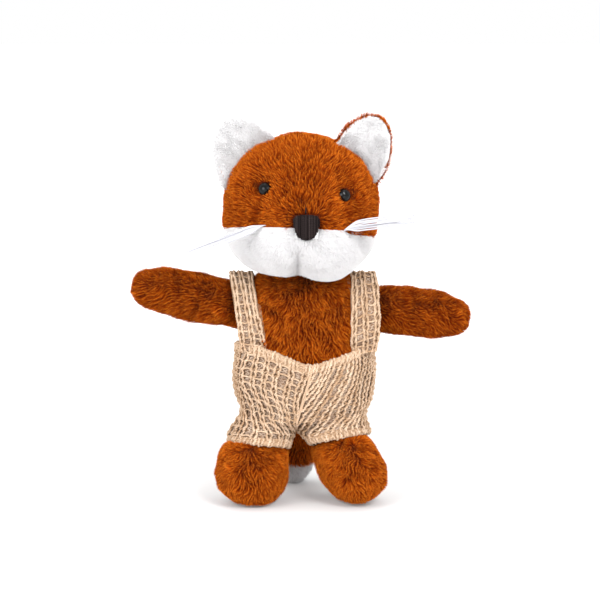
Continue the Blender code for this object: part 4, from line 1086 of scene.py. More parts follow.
def build_arm(side, brown):
    body = f"arm_{side}"
    form = stuffed(arm_form(side, -SINK["arm"]), *LUMP_DEPTHS["arm"])
    stuffed_piece(f"{body}_form", form, brown, body, body)
    pivot, way = shoulder_pivot(side), arm_direction(side)

    def keep(points):
        return (points - pivot) @ way > -1.8

    def comb(points):
        return np.broadcast_to(way, points.shape) + np.array([0, 0, -0.35])

    pile(f"{body}_pile", body, brown, form, FURS["arm"], comb, keep, shade=ARM_SHADE[side])


def build_leg(side, brown):
    body = f"leg_{side}"
    form = stuffed(leg_form(side, -SINK["leg"]), *LUMP_DEPTHS["leg"])
    form[0][:, 2] = np.maximum(form[0][:, 2], 0.2)
    stuffed_piece(f"{body}_form", form, brown, body, body)
    crown = np.array([FOOT_CENTRE_X[side] + OUTWARD[side] * 2.0, -42.0, 30.0])

    def keep(points):
        x, y, z = points.T
        return (z < hem_plane(side, x, y) - 0.6) & (z > 0.9)

    def comb(points):
        return 0.7 * unit(points - crown) + np.array([0.12 * OUTWARD[side], 0.0, -0.75])

    def fade(points):
        return 0.35 + 0.65 * ease(points[:, 2] / 3.0)

    pile(f"{body}_pile", body, brown, form, FURS["leg"], comb, keep, fade, LEG_SHADE[side])


def build_tail(brown, white):
    form = stuffed(tail_form(-SINK["tail"]), *LUMP_DEPTHS["tail"])
    split, way = tail_point(TAIL_SPLIT_SHARE), tail_direction(TAIL_SPLIT_SHARE)
    root, root_way = tail_point(TAIL_PILE_SHARE), tail_direction(TAIL_PILE_SHARE)

    def keep(points):
        return (points[:, 2] > 0.5) & ((points - root) @ root_way > 0)

    def comb(points):
        top = TAIL_PATH[0, 2]
        return tail_direction(np.clip((top - points[:, 2]) / top, 0, 1)[:, None])

    def fade(points):
        return 0.4 + 0.6 * ease(points[:, 2] / 2.5)

    for name, plush, sign in (("tail", brown, 1.0), ("tail_tip", white, -1.0)):
        part = cut_away(form, [(split, way * sign)])
        part[0][:, 2] = np.maximum(part[0][:, 2], 0.3)
        stuffed_piece(f"{name}_form", thickened(part, 1.0), plush, "tail", name)
        pile(f"{name}_pile", "tail", plush, part, FURS[name], comb, keep, fade, TAIL_PAINTED_LIGHT)


def head_comb(points):
    """The nap runs from the nose outwards, up over the brow and down the back."""
    flow = unit(points - NAP_START)
    flow[:, 1] += 0.2
    back = ease((points[:, 1] + 12.0) / 26.0)
    flow[:, 2] = flow[:, 2] * (1 - back) - 0.9 * back
    for side in SIDES:
        eye_x, eye_z = EYE_PLACE[side]
        beside = points[:, 0] - eye_x
        reach = np.hypot(beside, points[:, 2] - eye_z)
        turned = bell(reach - EYE_BEAD_RADIUS, 1.8) * (np.abs(beside) / reach) ** 2 * (points[:, 1] < -8)
        flow = flow * (1 - turned[:, None])
        flow[:, 0] -= turned * np.sign(beside)
    return flow


def face_painted_shade(points):
    """Painted shade along both sides of the snout and low beside it, and a paler painted highlight on its
    crown.
    """
    x, y, z = points.T
    front = ease((-8.0 - y) / 6.0)
    low = ease((EYE_PLACE["left"][1] + 2.0 - z) / 4.0)
    shade = np.zeros(len(points))
    for side in SIDES:
        out = OUTWARD[side]
        crease = NOSE_X + out * (SNOUT_SIDE[side] + 0.12 * (EYE_PLACE["left"][1] - z))
        shade -= 0.34 * bell(x - crease, 1.3) * front * low
        shade += 0.12 * bell(x - crease + out * 3.4, 2.6) * front * low
        shade -= 0.10 * ease(out * (x - crease) / 4.0) * front * ease((EYE_PLACE[side][1] - 2 - z) / 6.0)
    return shade


def near_face_piece(points):
    """Whether points lie under the nose's shield or an eye's bead."""
    x, y, z = points.T
    under = (np.abs(x - NOSE_X) < 4.4) & (np.abs(z - NOSE_Z) < 4.2) & (y < -20)
    for side in SIDES:
        eye_x, eye_z = EYE_PLACE[side]
        under |= (np.hypot(x - eye_x, z - eye_z) < EYE_BEAD_RADIUS - 0.35) & (y < -10)
    return under


def near_neck(points, clear):
    x, y, z = points.T
    return (np.hypot(x, y) < NECK_RADIUS) & (z < NECK_HEIGHT + clear)


def build_head(brown, white):
    """The brown head, sunk a little where the cheek panels lie over it, and its pile."""
    points, faces = stuffed(head_form(-SINK["head"]), *LUMP_DEPTHS["head"])
    outwards, _ = normals_of((points, faces))
    x, y, z = points.T
    under = ease((panel_top(x, y) - z) / 1.5) * (y < PANEL_BACK_Y)
    full = (points - 0.7 * under[:, None] * outwards, faces)
    stuffed_piece("head_form", full, brown, "head", "head")

    def keep(points):
        return ~is_white(points) & ~near_face_piece(points) & ~near_neck(points, 3)

    def fade(points):
        """Shorter round the eyes."""
        near = np.ones(len(points))
        for side in SIDES:
            eye_x, eye_z = EYE_PLACE[side]
            reach = np.hypot(points[:, 0] - eye_x, points[:, 2] - eye_z)
            near = np.where(points[:, 1] < -8, np.minimum(near, 0.5 + 0.5 * ease((reach - 2.0) / 3.0)), near)
        return near

    pile("head_pile", "head", brown, full, FURS["head"], head_comb, keep, fade, face_painted_shade)
    for side in SIDES:
        build_cheek(side, white, faces)
    return full


def build_cheek(side, white, faces):
    """One white panel, cut out of the head's form and laid over it."""
    slopes = np.array([-math.tan(PANEL_TOP_SIDE_SLOPE), math.tan(PANEL_TOP_FRONT_SLOPE), 1.0])
    planes = [
        (np.array([0.0, PANEL_BACK_Y, PANEL_TOP_HEIGHT]), unit(slopes)),
        (np.array([0, PANEL_BACK_Y, 0]), np.array([0, 1.0, 0])),
        (np.array([CHIN_SEAM_X, 0, 0]), np.array([-OUTWARD[side], 0, 0])),
    ]
    points, faces = cut_away((head_form(-SINK["head"])[0], faces), planes)
    normals, _ = normals_of((points, faces))
    edge = panel_top(points[:, 0], points[:, 1]) - points[:, 2]
    inside = ~near_neck(points, 0.5)
    faces = [face for face in faces if inside[list(face)].all()]
    patch = (points + normals * (0.45 + 0.5 * ease(edge / 2.5))[:, None], faces)
    stuffed_piece(f"cheek_{side}_form", thickened(patch, 1.2), white, "head", f"cheek_panel_{side}")

    def comb(points):
        return unit(points - NAP_START) + np.array([0.0, 0.0, -0.4])

    def keep(points):
        return is_white(points) & ~near_face_piece(points)

    pile(f"cheek_{side}_pile", "head", white, patch, FURS["cheek"], comb, keep, shade=CHEEK_SHADE)


def build_ear(side, brown, white):
    body = f"ear_{side}"
    place = np.array(ear_frame(side))
    origin, sideways, up, out = place[:3, 3], place[:3, 0], place[:3, 1], place[:3, 2] * OUTWARD[side]
    lining_grow, back_grow = EAR_RIMS[side]
    thick = EAR_LAYER - 0.5
    gap = EAR_HALF_GAP
    lining = stuffed(ear_layer(side, -gap - thick, -gap, lining_grow), *LUMP_DEPTHS["ear"])
    back = stuffed(ear_layer(side, gap, gap + thick, back_grow), *LUMP_DEPTHS["ear"])
    stuffed_piece(f"{body}_lining_form", lining, white, body, f"ear_lining_{side}")
    stuffed_piece(f"{body}_back_form", back, brown, body, f"ear_back_{side}")

    def parted(points, sign):
        """Whether points lie on this side of the ear's two layers, or on its rim."""
        local = points - origin
        rise = np.clip(local @ up / EAR_HEIGHT[side], 0, 1)
        taper = (1 - np.minimum(rise, 0.999) ** EAR_ROUNDNESS[side]) ** (1 / EAR_ROUNDNESS[side])
        half = np.linalg.norm(np.array(EAR_ROOT_INNER[side]) - np.array(EAR_ROOT_OUTER[side])) / 2
        across = (local @ sideways - EAR_SKEW[side] * rise**1.3) / half
        depth = local @ out + EAR_CUP * (1 - 0.5 * rise) * across**2
        rim = (np.abs(across) > 0.9 * taper) | (rise > 0.95)
        return (local @ up > -2.5) & ((depth * sign > 0.6) | rim)

    def front(points):
        return parted(points, -1)

    def behind(points):
        return parted(points, 1)

    def fringe(points):
        """The rim's fringe shows low outside on the left ear, and all round on the right one."""
        if side == "right":
            return np.ones(len(points))
        low = origin + 4.5 * up
        outer = ease(-OUTWARD[side] * (low[0] - points[:, 0]) / 4.0) * ease((low[2] + 5 - points[:, 2]) / 6.0)
        ahead = ease((1.2 - (points - origin) @ out) / 1.2)
        return 1 - ahead * (1 - outer) * 0.75

    # The lining's fibres are paler overall, with painted shade towards the ear's root where it meets the head
    def root_painted_shade(points):
        return 0.45 - 0.75 * ease((7.0 - (points - origin) @ up) / 10.0)

    pile(f"{body}_lining_pile", body, white, lining, FURS["ear_lining"], along(up), front, shade=root_painted_shade)
    pile(f"{body}_back_pile", body, brown, back, FURS["ear_back"], along(up + 0.5 * out), behind, fringe,
         EAR_BACK_SHADE)


# Yarn and cloth


def tube(path, normals, radius, sides=5, twist=None):
    """Rings round a path. With a twist, the pitch and offset of a ply that winds round it."""
    ahead = unit(np.gradient(path, axis=0))
    up = unit(without(normals, ahead))
    side = np.cross(ahead, up)
    centre = path
    if twist is not None:
        pitch, offset, start = twist
        run = np.concatenate([[0.0], np.cumsum(np.linalg.norm(np.diff(path, axis=0), axis=1))])
        turn = 2 * math.pi * (run / pitch + start)
        centre = path + offset * (np.cos(turn)[:, None] * up + np.sin(turn)[:, None] * side)
    radius = np.broadcast_to(np.asarray(radius, float), (len(path),))
    around = np.linspace(0, 2 * math.pi, sides, endpoint=False)
    rings = (
        centre[:, None, :]
        + radius[:, None, None] * (np.cos(around)[None, :, None] * up[:, None, :])
        + radius[:, None, None] * (np.sin(around)[None, :, None] * side[:, None, :])
    )
    # How far round each ring faces out, from which the yarn's material paints shade underneath and a paler
    # top
    return rings, 0.5 + 0.5 * np.cos(around)


class Yarns:
    """Gathers many yarns into one mesh, with their lightness and height on the bake's map. The
    height, how far round a yarn faces out, carries its painted shade underneath.
    """

    def __init__(self):
        self.points, self.loops, self.counts, self.uv = [], [], [], []
        self.shift = 0

    def add(self, rings, height, light):
        count, sides = rings.shape[:2]
        light = np.broadcast_to(np.asarray(light, float), (count,))
        i = np.arange(count - 1)[:, None]
        j = np.arange(sides)[None, :]
        a, b = i * sides + j, i * sides + (j + 1) % sides
        quads = np.stack([a, b, b + sides, a + sides], -1).reshape(-1)
        self.loops.append(quads + self.shift)
        self.counts.append(np.full((count - 1) * sides, 4))
        caps = np.concatenate([np.arange(sides)[::-1], (count - 1) * sides + np.arange(sides)])
        self.loops.append(caps + self.shift)
        self.counts.append(np.full(2, sides))
        self.points.append(rings.reshape(-1, 3))
        stagger = 0.015 * (np.arange(count) % 2)
        place = np.stack(
            [np.broadcast_to((light + stagger)[:, None], (count, sides)),
             np.broadcast_to(0.05 + 0.9 * height[None, :], (count, sides))], 2
        )
        self.uv.append(place.reshape(-1, 2))
        self.shift += count * sides

    def yarn(self, path, normals, radius, light, plies=2, pitch=1.7, sides=5, start=0.0):
        """One yarn of the given outer radius, plied where it is thick enough to see."""
        if plies == 1:
            rings, height = tube(path, normals, radius, sides)
            self.add(rings, height, light)
            return
        for ply in range(plies):
            twist = (pitch, np.broadcast_to(radius * 0.44, (len(path),))[:, None], start + ply / plies)
            rings, height = tube(path, normals, radius * 0.6, sides, twist)
            self.add(rings, height, light)

    def build(self, name, material):
        return fast_object(
            name,
            np.vstack(self.points),
            np.concatenate(self.loops),
            np.concatenate(self.counts),
            np.clip(np.vstack(self.uv), 0.01, 0.99),
            material,
        )


YARN_DRIFT = Waves(30, 3.0, 9.0)
CLOTH_FOLDS = Waves(31, 13.0, 26.0)


class Cloth:
    """A sheet with places (across, down) from 0 to 1, and a lift along its outward normal."""

    def __init__(self, place, inside):
        self.place = place
        self.inside = inside

    def at(self, across, down, lift):
        across, down = np.broadcast_arrays(np.asarray(across, float), np.asarray(down, float))
        small = 0.004
        here = self.place(across, down)
        one = self.place(across + small, down) - self.place(across - small, down)
        two = self.place(across, down + small) - self.place(across, down - small)
        normal = unit(np.cross(one, two))
        flip = np.sign(((here - self.inside(here)) * normal).sum(-1, keepdims=True))
        normal = normal * np.where(flip == 0, 1.0, flip)
        return here + normal * np.asarray(lift)[..., None], normal


# How full the seat is, in width and in depth, at each share of the way up from the fork
SEAT_FULLNESS = [
    (0.0, 0.42, 0.40),
    (0.05, 0.74, 0.72),
    (0.12, 0.90, 0.89),
    (0.22, 0.985, 0.99),
    (0.34, 1.035, 1.03),
    (0.5, 1.048, 1.045),
    (0.68, 1.02, 1.02),
    (0.82, 0.995, 1.0),
    (1.0, 0.985, 0.99),
]
SEAT_HEIGHTS = (31.0, 69.0)
FORK_X = -1.8
FORK_HEIGHT = 33.0


def seat_place(side, across, z):
    """The body of the dungarees, from its middle in front round one side to its middle behind."""
    share = np.clip((z - SEAT_HEIGHTS[0]) / (SEAT_HEIGHTS[1] - SEAT_HEIGHTS[0]), 0.15, 1.0).ravel()
    wide, deep = through(SEAT_FULLNESS, share).T
    half_width = (TORSO_HALF[0] + SHORTS_THICKNESS) * wide.reshape(z.shape)
    half_depth = (TORSO_HALF[1] + SHORTS_THICKNESS) * deep.reshape(z.shape)
    rise = np.clip((z - FORK_HEIGHT) / (WAIST_DIP_HEIGHT - FORK_HEIGHT), 0, 1.2)
    middle = FORK_X + rise * (WAIST_DIP_X - FORK_X)
    lean = np.clip((middle - TORSO_CENTRE[0]) / half_width, -0.9, 0.9)
    start = OUTWARD[side] * np.arcsin(signed_power(lean, TORSO_SECTION_POWER / 2))
    angle = start + (math.pi - start) * even_share(across)
    x = TORSO_CENTRE[0] + OUTWARD[side] * signed_power(np.sin(angle), 2 / TORSO_SECTION_POWER) * half_width
    y = -signed_power(np.cos(angle), 2 / TORSO_SECTION_POWER) * half_depth
    return np.stack([x, y, z], -1)


EVEN_ANGLES = np.linspace(-0.35, math.pi + 0.35, 600)
EVEN_RUN = np.concatenate([
    [0.0],
    np.cumsum(np.hypot(
        np.diff(signed_power(np.sin(EVEN_ANGLES), 2 / TORSO_SECTION_POWER) * TORSO_HALF[0]),
        np.diff(signed_power(np.cos(EVEN_ANGLES), 2 / TORSO_SECTION_POWER) * TORSO_HALF[1]),
    )),
])


def even_share(across):
    """The share of the half turn at which the way round the section has run this far."""
    first, last = np.interp([0.0, math.pi], EVEN_ANGLES, EVEN_RUN)
    found = np.interp(first + (last - first) * across.ravel(), EVEN_RUN, EVEN_ANGLES)
    return found.reshape(across.shape) / math.pi


def cuff_edge(edges, heights, z):
    share = ease((z - heights[0]) / (heights[1] - heights[0]))
    return edges[0] + (edges[1] - edges[0]) * share


def tube_place(side, across, z):
    """A leg of the dungarees, from its inside seam round the front, the outside and the back."""
    inner = cuff_edge(CUFF_INNER_EDGES[side], CUFF_INNER_HEIGHTS, z)
    outer = cuff_edge(CUFF_OUTER_EDGES[side], CUFF_OUTER_HEIGHTS, z)
    middle, half_width = (inner + outer) / 2, np.abs(outer - inner) / 2
    angle = 2 * math.pi * across
    x = middle - OUTWARD[side] * half_width * np.cos(angle)
    y = CUFF_Y - CUFF_HALF_DEPTH * np.sin(angle)
    return np.stack([x, y, z], -1)


def cuff_mix(across, z):
    """How far the body of the dungarees has turned into a leg: first outside, last at the fork."""
    top = 34.0 + 5.0 * np.sin(math.pi * np.clip(across, 0, 1)) ** 2
    return ease((top - z) / 7.0)


def shorts_place(side, across, z):
    mix = cuff_mix(across, z)[..., None]
    return seat_place(side, across, z) * (1 - mix) + tube_place(side, across, z) * mix


def shorts_cloth(side):
    """One half of the dungarees, from the waist's edge down to the hem."""
    grid = np.linspace(-0.03, 1.03, 213)
    top = np.full_like(grid, 60.0)
    for _ in range(6):
        place = shorts_place(side, grid, top)
        top = waist_height(place[:, 0], place[:, 1])
    hem = np.full_like(grid, 22.0)
    for _ in range(6):
        place = shorts_place(side, grid, hem)
        hem = hem_plane(side, place[:, 0], place[:, 1])

    def place(across, down):
        high = np.interp(across.ravel(), grid, top).reshape(across.shape)
        low = np.interp(across.ravel(), grid, hem).reshape(across.shape)
        z = high + (low - high) * down
        found = shorts_place(side, across, z)
        out = unit(found - inside(found))
        return found + out * 0.45 * CLOTH_FOLDS.value(found.reshape(-1, 3)).reshape(z.shape)[..., None]

    def inside(points):
        z = points[..., 2]
        mix = ease((39.0 - z) / 8.0)
        core = np.zeros_like(points)
        core[..., 0] = TORSO_CENTRE[0] * (1 - mix) + CUFF_MIDDLE[side] * mix
        core[..., 1] = CUFF_Y * mix
        core[..., 2] = z
        return core

    return Cloth(place, inside)


def torso_reach(across, angle):
    """How far the torso's skin lies from its middle line, at a height angle."""
    wide = np.abs(across) / TORSO_HALF[0]
    deep, high = np.abs(np.cos(angle)) / TORSO_HALF[1], np.abs(np.sin(angle)) / TORSO_HALF[2]
    low, far = np.zeros_like(wide), np.full_like(wide, TORSO_HALF[2] * 2)
    for _ in range(32):
        middle = (low + far) / 2
        section = wide**TORSO_SECTION_POWER + (deep * middle) ** TORSO_SECTION_POWER
        level = section ** (TORSO_PROFILE_POWER / TORSO_SECTION_POWER)
        inside = level + (high * middle) ** TORSO_PROFILE_POWER < 1
        low, far = np.where(inside, middle, low), np.where(inside, far, middle)
    return low


def strap_cloth(side):
    """A strap from the front of the waist over the shoulder to the back of the waist."""

    def whole(across, share):
        angle = -STRAP_FOOT + (math.pi + 2 * STRAP_FOOT) * share
        edges = strap_edges(side, share.ravel()).reshape(*share.shape, 2)
        x = edges[..., 0] + (edges[..., 1] - edges[..., 0]) * across
        lay = np.minimum(np.abs(x - TORSO_CENTRE[0]), STRAP_LAY_WIDTH)
        crown = STRAP_THICKNESS * (0.8 + 0.2 * np.sin(math.pi * np.clip(across, 0, 1)))
        reach = torso_reach(lay, angle) + 0.6 + crown
        y = -np.cos(angle) * reach
        z = TORSO_CENTRE[2] + np.sin(angle) * reach
        return np.stack([x, y, z], -1)

    shares = np.linspace(0, 1, 400)
    grid = np.linspace(0, 1, 9)
    starts, ends = [], []
    for across in grid:
        line = whole(np.full_like(shares, across), shares)
        clear = line[:, 2] > waist_height(line[:, 0], line[:, 1]) - 2.4
        starts.append(shares[np.argmax(clear)])
        ends.append(shares[len(clear) - 1 - np.argmax(clear[::-1])])

    def place(across, down):
        first = np.interp(np.clip(across, 0, 1).ravel(), grid, starts).reshape(across.shape)
        last = np.interp(np.clip(across, 0, 1).ravel(), grid, ends).reshape(across.shape)
        found = whole(across, first + (last - first) * down)
        low = waist_height(found[..., 0], found[..., 1])
        tuck = 2.1 * ease(1 - (found[..., 2] - low) / 6.0)
        core = inside(found)
        return found - unit(found - core) * tuck[..., None]

    def inside(points):
        core = np.zeros_like(points)
        core[..., 0] = points[..., 0]
        core[..., 2] = TORSO_CENTRE[2]
        return core

    return Cloth(place, inside)


def knit(yarns, backs, cloth, style, seed):
    """Open ribbing: pairs of cords that pinch together at each row, with a rung across each window.

    The style gives the columns, the rows, how far apart a pair lies at its pinch and how much
    more between, the cords' radius, the share at each end that a hem covers, how far the columns
    are pulled aside on the way down, how many rungs show, how deep they lie and how light, and
    how much lighter all of it is. The rungs and cross yarns are made darker as painted shade for
    how deep they lie, and the cords paler where they rise, as painted light.
    """
    draw = np.random.default_rng(seed)
    wales, rows, radius, band = style["wales"], style["rows"], style["radius"], style["band"]
    near, apart = style["spread"]
    rung_share, rung_lift, rung_light = style["rungs"]
    down = np.linspace(0, 1, 40 + rows * 12)
    wide = 1.0 / wales
    phases = np.cumsum(draw.normal(size=wales + 1) * 0.10)

    def lay(net, across, line, lift, size, light, plies, sides=5):
        """One yarn, as far as it stays on its own half of the cloth."""
        across = style["pull"](across, line)
        off = np.nonzero(across < 0.006)[0]
        keep = off[0] if style["edges"] and len(off) else len(across)
        if keep < 5:
            return
        path, normal = cloth.at(across[:keep], line[:keep], lift[:keep])
        size = np.broadcast_to(size, across.shape)[:keep]
        shade = np.broadcast_to(light, across.shape)[:keep] + 0.10 * YARN_DRIFT.value(path[:, [2, 0, 1]])
        net.yarn(path, normal, size, shade, plies=plies, pitch=2.3, start=draw.random(), sides=sides)

    def ripple(line, beat):
        """A slow swell along a cord, beat times a row, from a random start."""
        return np.sin(2 * math.pi * (line * rows * beat + draw.random()))

    cords = {}
    for i in range(wales):
        drift = wide * 0.09 * np.sin(2 * math.pi * (down * (1.1 + 0.8 * draw.random()) + draw.random()))
        for hand in (-1, 1):
            beat = np.sin(math.pi * (down * rows + phases[i] + 0.08 * draw.normal())) ** 2
            uneven = 1 + 0.2 * ripple(down, 0.21)
            wobble = 0.04 * wide * ripple(down, 0.37)
            across = (i + 0.5) * wide + drift + wobble + hand * wide * (near + apart * beat * uneven)
            turn = 2 * math.pi * (down * rows + phases[i] + 0.06 * hand)
            lift = -radius - 0.02 + 0.15 * np.cos(turn) + 0.06 * draw.normal()
            thick = radius * (1 + 0.12 * np.cos(turn + 0.5))
            # Paler where the cord rises and darker where it sinks, about in step with its lift: painted light
            # and shade, with a random tone per cord
            light = 0.54 + style["tone"] + 0.11 * draw.normal() + 0.14 * np.cos(turn + 0.8 * draw.normal())
            lay(yarns, across, down, lift, thick, light, 2)
            cords[(i, hand)] = across
        for step in range(2 * rows):
            line = (step + np.linspace(-0.1, 1.1, 7) - phases[i]) / (2 * rows)
            if line[0] < band or line[-1] > 1 - band:
                continue
            left, right = (np.interp(line, down, cords[(i, hand)]) for hand in (-1, 1))
            share = 0.5 + 0.5 * (1 if step % 2 else -1) * np.linspace(-1, 1, 7)
            # The cross yarns lie deepest and are made darkest: painted shade
            across, light = left + (right - left) * share, 0.18 + 0.08 * draw.normal()
            lay(yarns, across, line, np.full(7, -radius * 2.1), radius * 0.55, light, 1)
    first, last = (-1, wales) if style["edges"] else (0, wales - 1)
    for i in range(first, last):
        for row in range(rows + 1):
            at = (row - phases[max(i, 0)] * 0.5 - phases[min(i + 1, wales - 1)] * 0.5) / rows
            at += 0.06 * draw.normal() / rows
            shown, bend, slope, tone = draw.random(), draw.normal(), draw.normal(), draw.normal()
            if not band < at < 1 - band or shown > rung_share:
                continue
            left = np.interp(at, down, cords[(i, 1)]) if i >= 0 else 0.0
            right = np.interp(at, down, cords[(i + 1, -1)]) if i < wales - 1 else 1.0
            share = np.linspace(0, 1, 9)
            arch = -(0.16 + 0.07 * bend) * np.sin(math.pi * share) + 0.08 * slope * (share - 0.5)
            lift = rung_lift * radius - 0.2 * np.sin(math.pi * share)
            # The rungs lie below the cords and are made darker than them: painted shade
            light = rung_light + style["tone"] + 0.12 * tone
            lay(yarns, left + (right - left) * share, at + arch / rows, lift, radius * 0.66, light, 1)
        for shift in (-0.2, 0.0, 0.2):
            line = np.linspace(band, 1 - band, rows * 8)
            across = (i + 1) * wide + wide * (shift + 0.16 * ripple(line, 1.35 + 0.3 * draw.random()))
            lift = -radius - 0.95 + 0.18 * np.cos(2 * math.pi * line * rows * 2.7 + 6 * draw.random())
            light = 0.4 + 0.35 * ripple(line, 0.31)
            lay(backs, across, line, lift, np.full(len(line), 0.3), light, 1, sides=4)


def hem(yarns, cloth, start, inward, size, bumps, seed, radius, light):
    """A rolled edge: each rib ends in a pair of loops over the roll, with a curl of yarn between."""
    draw = np.random.default_rng(seed)
    high, deep = size

    def wrap(across, turn, swell, thick, tone):
        down = start + inward * (high * 0.92 - high * swell * np.sin(turn)) / SHORTS_LENGTH
        path, normal = cloth.at(across, down, -0.5 - deep + deep * swell * np.cos(turn))
        yarns.yarn(path, normal, thick, tone, pitch=2.4, start=draw.random())

    over = np.radians(np.linspace(-80, 220, 17))
    curl = np.linspace(0, 2 * math.pi, 15)
    for k in range(bumps):
        middle = (k + 0.5 + 0.1 * draw.normal()) / bumps
        for hand in (-1, 1):
            slant = (0.1 * draw.normal() - 0.12 * hand) / bumps
            place = middle + hand * (0.16 + 0.03 * draw.normal()) / bumps
            across = place + slant * (over / math.pi - 0.4) + 0.03 / bumps * np.sin(3 * over)
            thick = radius * (1 + 0.14 * draw.normal()) * (1 + 0.12 * np.sin(over))
            wrap(across, over, 1 + 0.10 * draw.normal(), thick, light + 0.16 * draw.normal())
        for level in (0.25, 0.8, 1.35):
            across = middle + (0.5 + (0.24 + 0.05 * draw.normal()) * np.cos(curl)) / bumps
            turn = level + (0.34 + 0.08 * draw.normal()) * np.sin(curl) + 0.1 * draw.normal()
            # The curl lies between the loops and is made darker: painted shade
            tone = light - 0.22 + 0.16 * draw.normal()
            wrap(across, turn, 0.93 + 0.06 * draw.normal(), np.full(len(curl), radius * 0.6), tone)
    run = np.linspace(0, 1, bumps * 8)
    for level in (0.15, 0.7, 1.25, 1.8):
        down = start + inward * high * level / SHORTS_LENGTH
        path, normal = cloth.at(run, down, np.full(len(run), -0.6 - deep * 0.75))
        # The roll lies under the loops and is made much darker: painted shade
        yarns.yarn(path, normal, radius * 1.2, light - 0.42, pitch=1.9)


def cloth_mesh(cloth, rows, columns, lift, down, across):
    u, v = np.meshgrid(np.linspace(*across, columns), np.linspace(*down, rows))
    points, _ = cloth.at(u, v, np.full(u.shape, lift))
    faces = [
        (i * columns + j, i * columns + j + 1, (i + 1) * columns + j + 1, (i + 1) * columns + j)
        for i in range(rows - 1)
        for j in range(columns - 1)
    ]
    return points.reshape(-1, 3), faces


def area_of(shape):
    """The area of a skin, in square metres."""
    points, _ = shape
    _, triangles = normals_of(shape)
    a, b, c = (points[triangles[:, k]] for k in range(3))
    return float(np.linalg.norm(np.cross(b - a, c - a), axis=1).sum() / 2) * MM * MM


def straight(across, down):
    return across


def pulled_left(across, down):
    """The left half's columns swing towards the fork where the body turns into the leg."""
    return across - 0.06 * ease((down - 0.36) / 0.3) * bell(across - 0.25, 0.2)


def pulled_right(across, down):
    """The right half's columns slant down to the fork and run out in the inside seam."""
    return across - 0.15 * ease(down / 0.78) * bell(across - 0.06, 0.22)


# A style's rungs: the share that shows, how deep they lie, and how light, which is painted shade for their
# depth
STRAP_STYLE = {"wales": 3, "rows": 21, "spread": (0.15, 0.07), "radius": 0.56, "band": 0.0, "edges": False,
               "pull": straight, "rungs": (0.97, -1.2, 0.42), "tone": 0.0}
STRAP_STYLES = {"left": STRAP_STYLE, "right": dict(STRAP_STYLE, tone=-0.16)}
HALF_STYLES = {
    "left": {"wales": 16, "rows": 13, "spread": (0.14, 0.07), "radius": 0.54, "band": 0.07, "edges": True,
             "pull": pulled_left, "rungs": (0.97, -1.2, 0.42), "tone": 0.0},
    "right": {"wales": 20, "rows": 15, "spread": (0.2, 0.075), "radius": 0.56, "band": 0.07, "edges": True,
              "pull": pulled_right, "rungs": (0.45, -2.2, 0.16), "tone": 0.0},
}
WAIST_HEM = {"start": 0.0, "inward": 1.0, "size": (1.5, 0.95), "bumps": 19, "seed": 111,
             "radius": 0.62, "light": 0.7}
LEG_HEM = {"start": 1.0, "inward": -1.0, "size": (1.2, 0.85), "bumps": 22, "seed": 112,
           "radius": 0.54, "light": 0.6}
SHORTS_LENGTH = 36.0
LEG_TUBE_RADIUS = 13.5
STRAP_WIDTH = 10.5


def knitted(name, cloth, style, seed, ground, lining_material, yarn, back_yarn, edge=None):
    """A lining with the front net and the back net of yarns on it."""
    lining = make_object(f"{name}_lining", ground, lining_material)
    yarns, backs = Yarns(), Yarns()
    knit(yarns, backs, cloth, style, seed)
    if edge:
        edge(yarns)
    return lining, yarns.build(f"{name}_yarn", yarn), backs.build(f"{name}_back_yarn", back_yarn)


def build_dungarees(side, yarn, back_yarn, under):
    cloth = shorts_cloth(side)
    ground = cloth_mesh(cloth, 60, 120, -1.75, (0.01, 0.99), (0.0, 1.0))

    def edge(yarns):
        for place in (0.004, 0.996):
            path, normal = cloth.at(np.full(160, place), np.linspace(0, 1, 160), np.full(160, -0.45))
            yarns.yarn(path, normal, 0.42, 0.5, pitch=1.6)
        for style in (WAIST_HEM, LEG_HEM):
            hem(yarns, cloth, **style)

    seed = 101 + (side == "right")
    lining, net, behind = knitted(f"dungarees_{side}", cloth, HALF_STYLES[side], seed, ground, under,
                                  yarn, back_yarn, edge)
    for piece in (lining, net, behind):
        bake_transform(piece)
        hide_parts("dungarees")
    width = 2 * math.pi * LEG_TUBE_RADIUS * MM
    area_of(ground) / width


def build_strap(side, yarn, back_yarn, under):
    cloth = strap_cloth(side)
    ground = cloth_mesh(cloth, 120, 12, -1.5, (0.0, 1.0), (0.05, 0.95))
    seed = 121 + (side == "right")
    lining, net, behind = knitted(f"strap_{side}", cloth, STRAP_STYLES[side], seed, ground, under,
                                  yarn, back_yarn)
    for piece in (lining, net, behind):
        ride(piece, "torso", "beige_knit", f"strap_{side}")
    width = STRAP_WIDTH * MM
    area_of(ground) / width


# Eyes, nose and whiskers


def dress_eyes():
    finishes = {
        "eye": plain_material("black_bead", (0.001, 0.0008, 0.0008), 0.03, 0.26),
        "eye_washer": plain_material("washer_plastic", (0.75, 0.75, 0.72), 0.4),
    }
    for part, finish in finishes.items():
        for side in SIDES:
            node = bpy.data.objects[f"{part}_{side}"]
            node.data.materials.clear()
            node.data.materials.append(finish)


NOSE_OUTLINE_SHARES = [
    (0.0, -0.52), (0.34, -0.49), (0.68, -0.38), (0.9, -0.15), (1.0, 0.12), (0.99, 0.33), (0.84, 0.45),
    (0.45, 0.49), (0.0, 0.5),
]


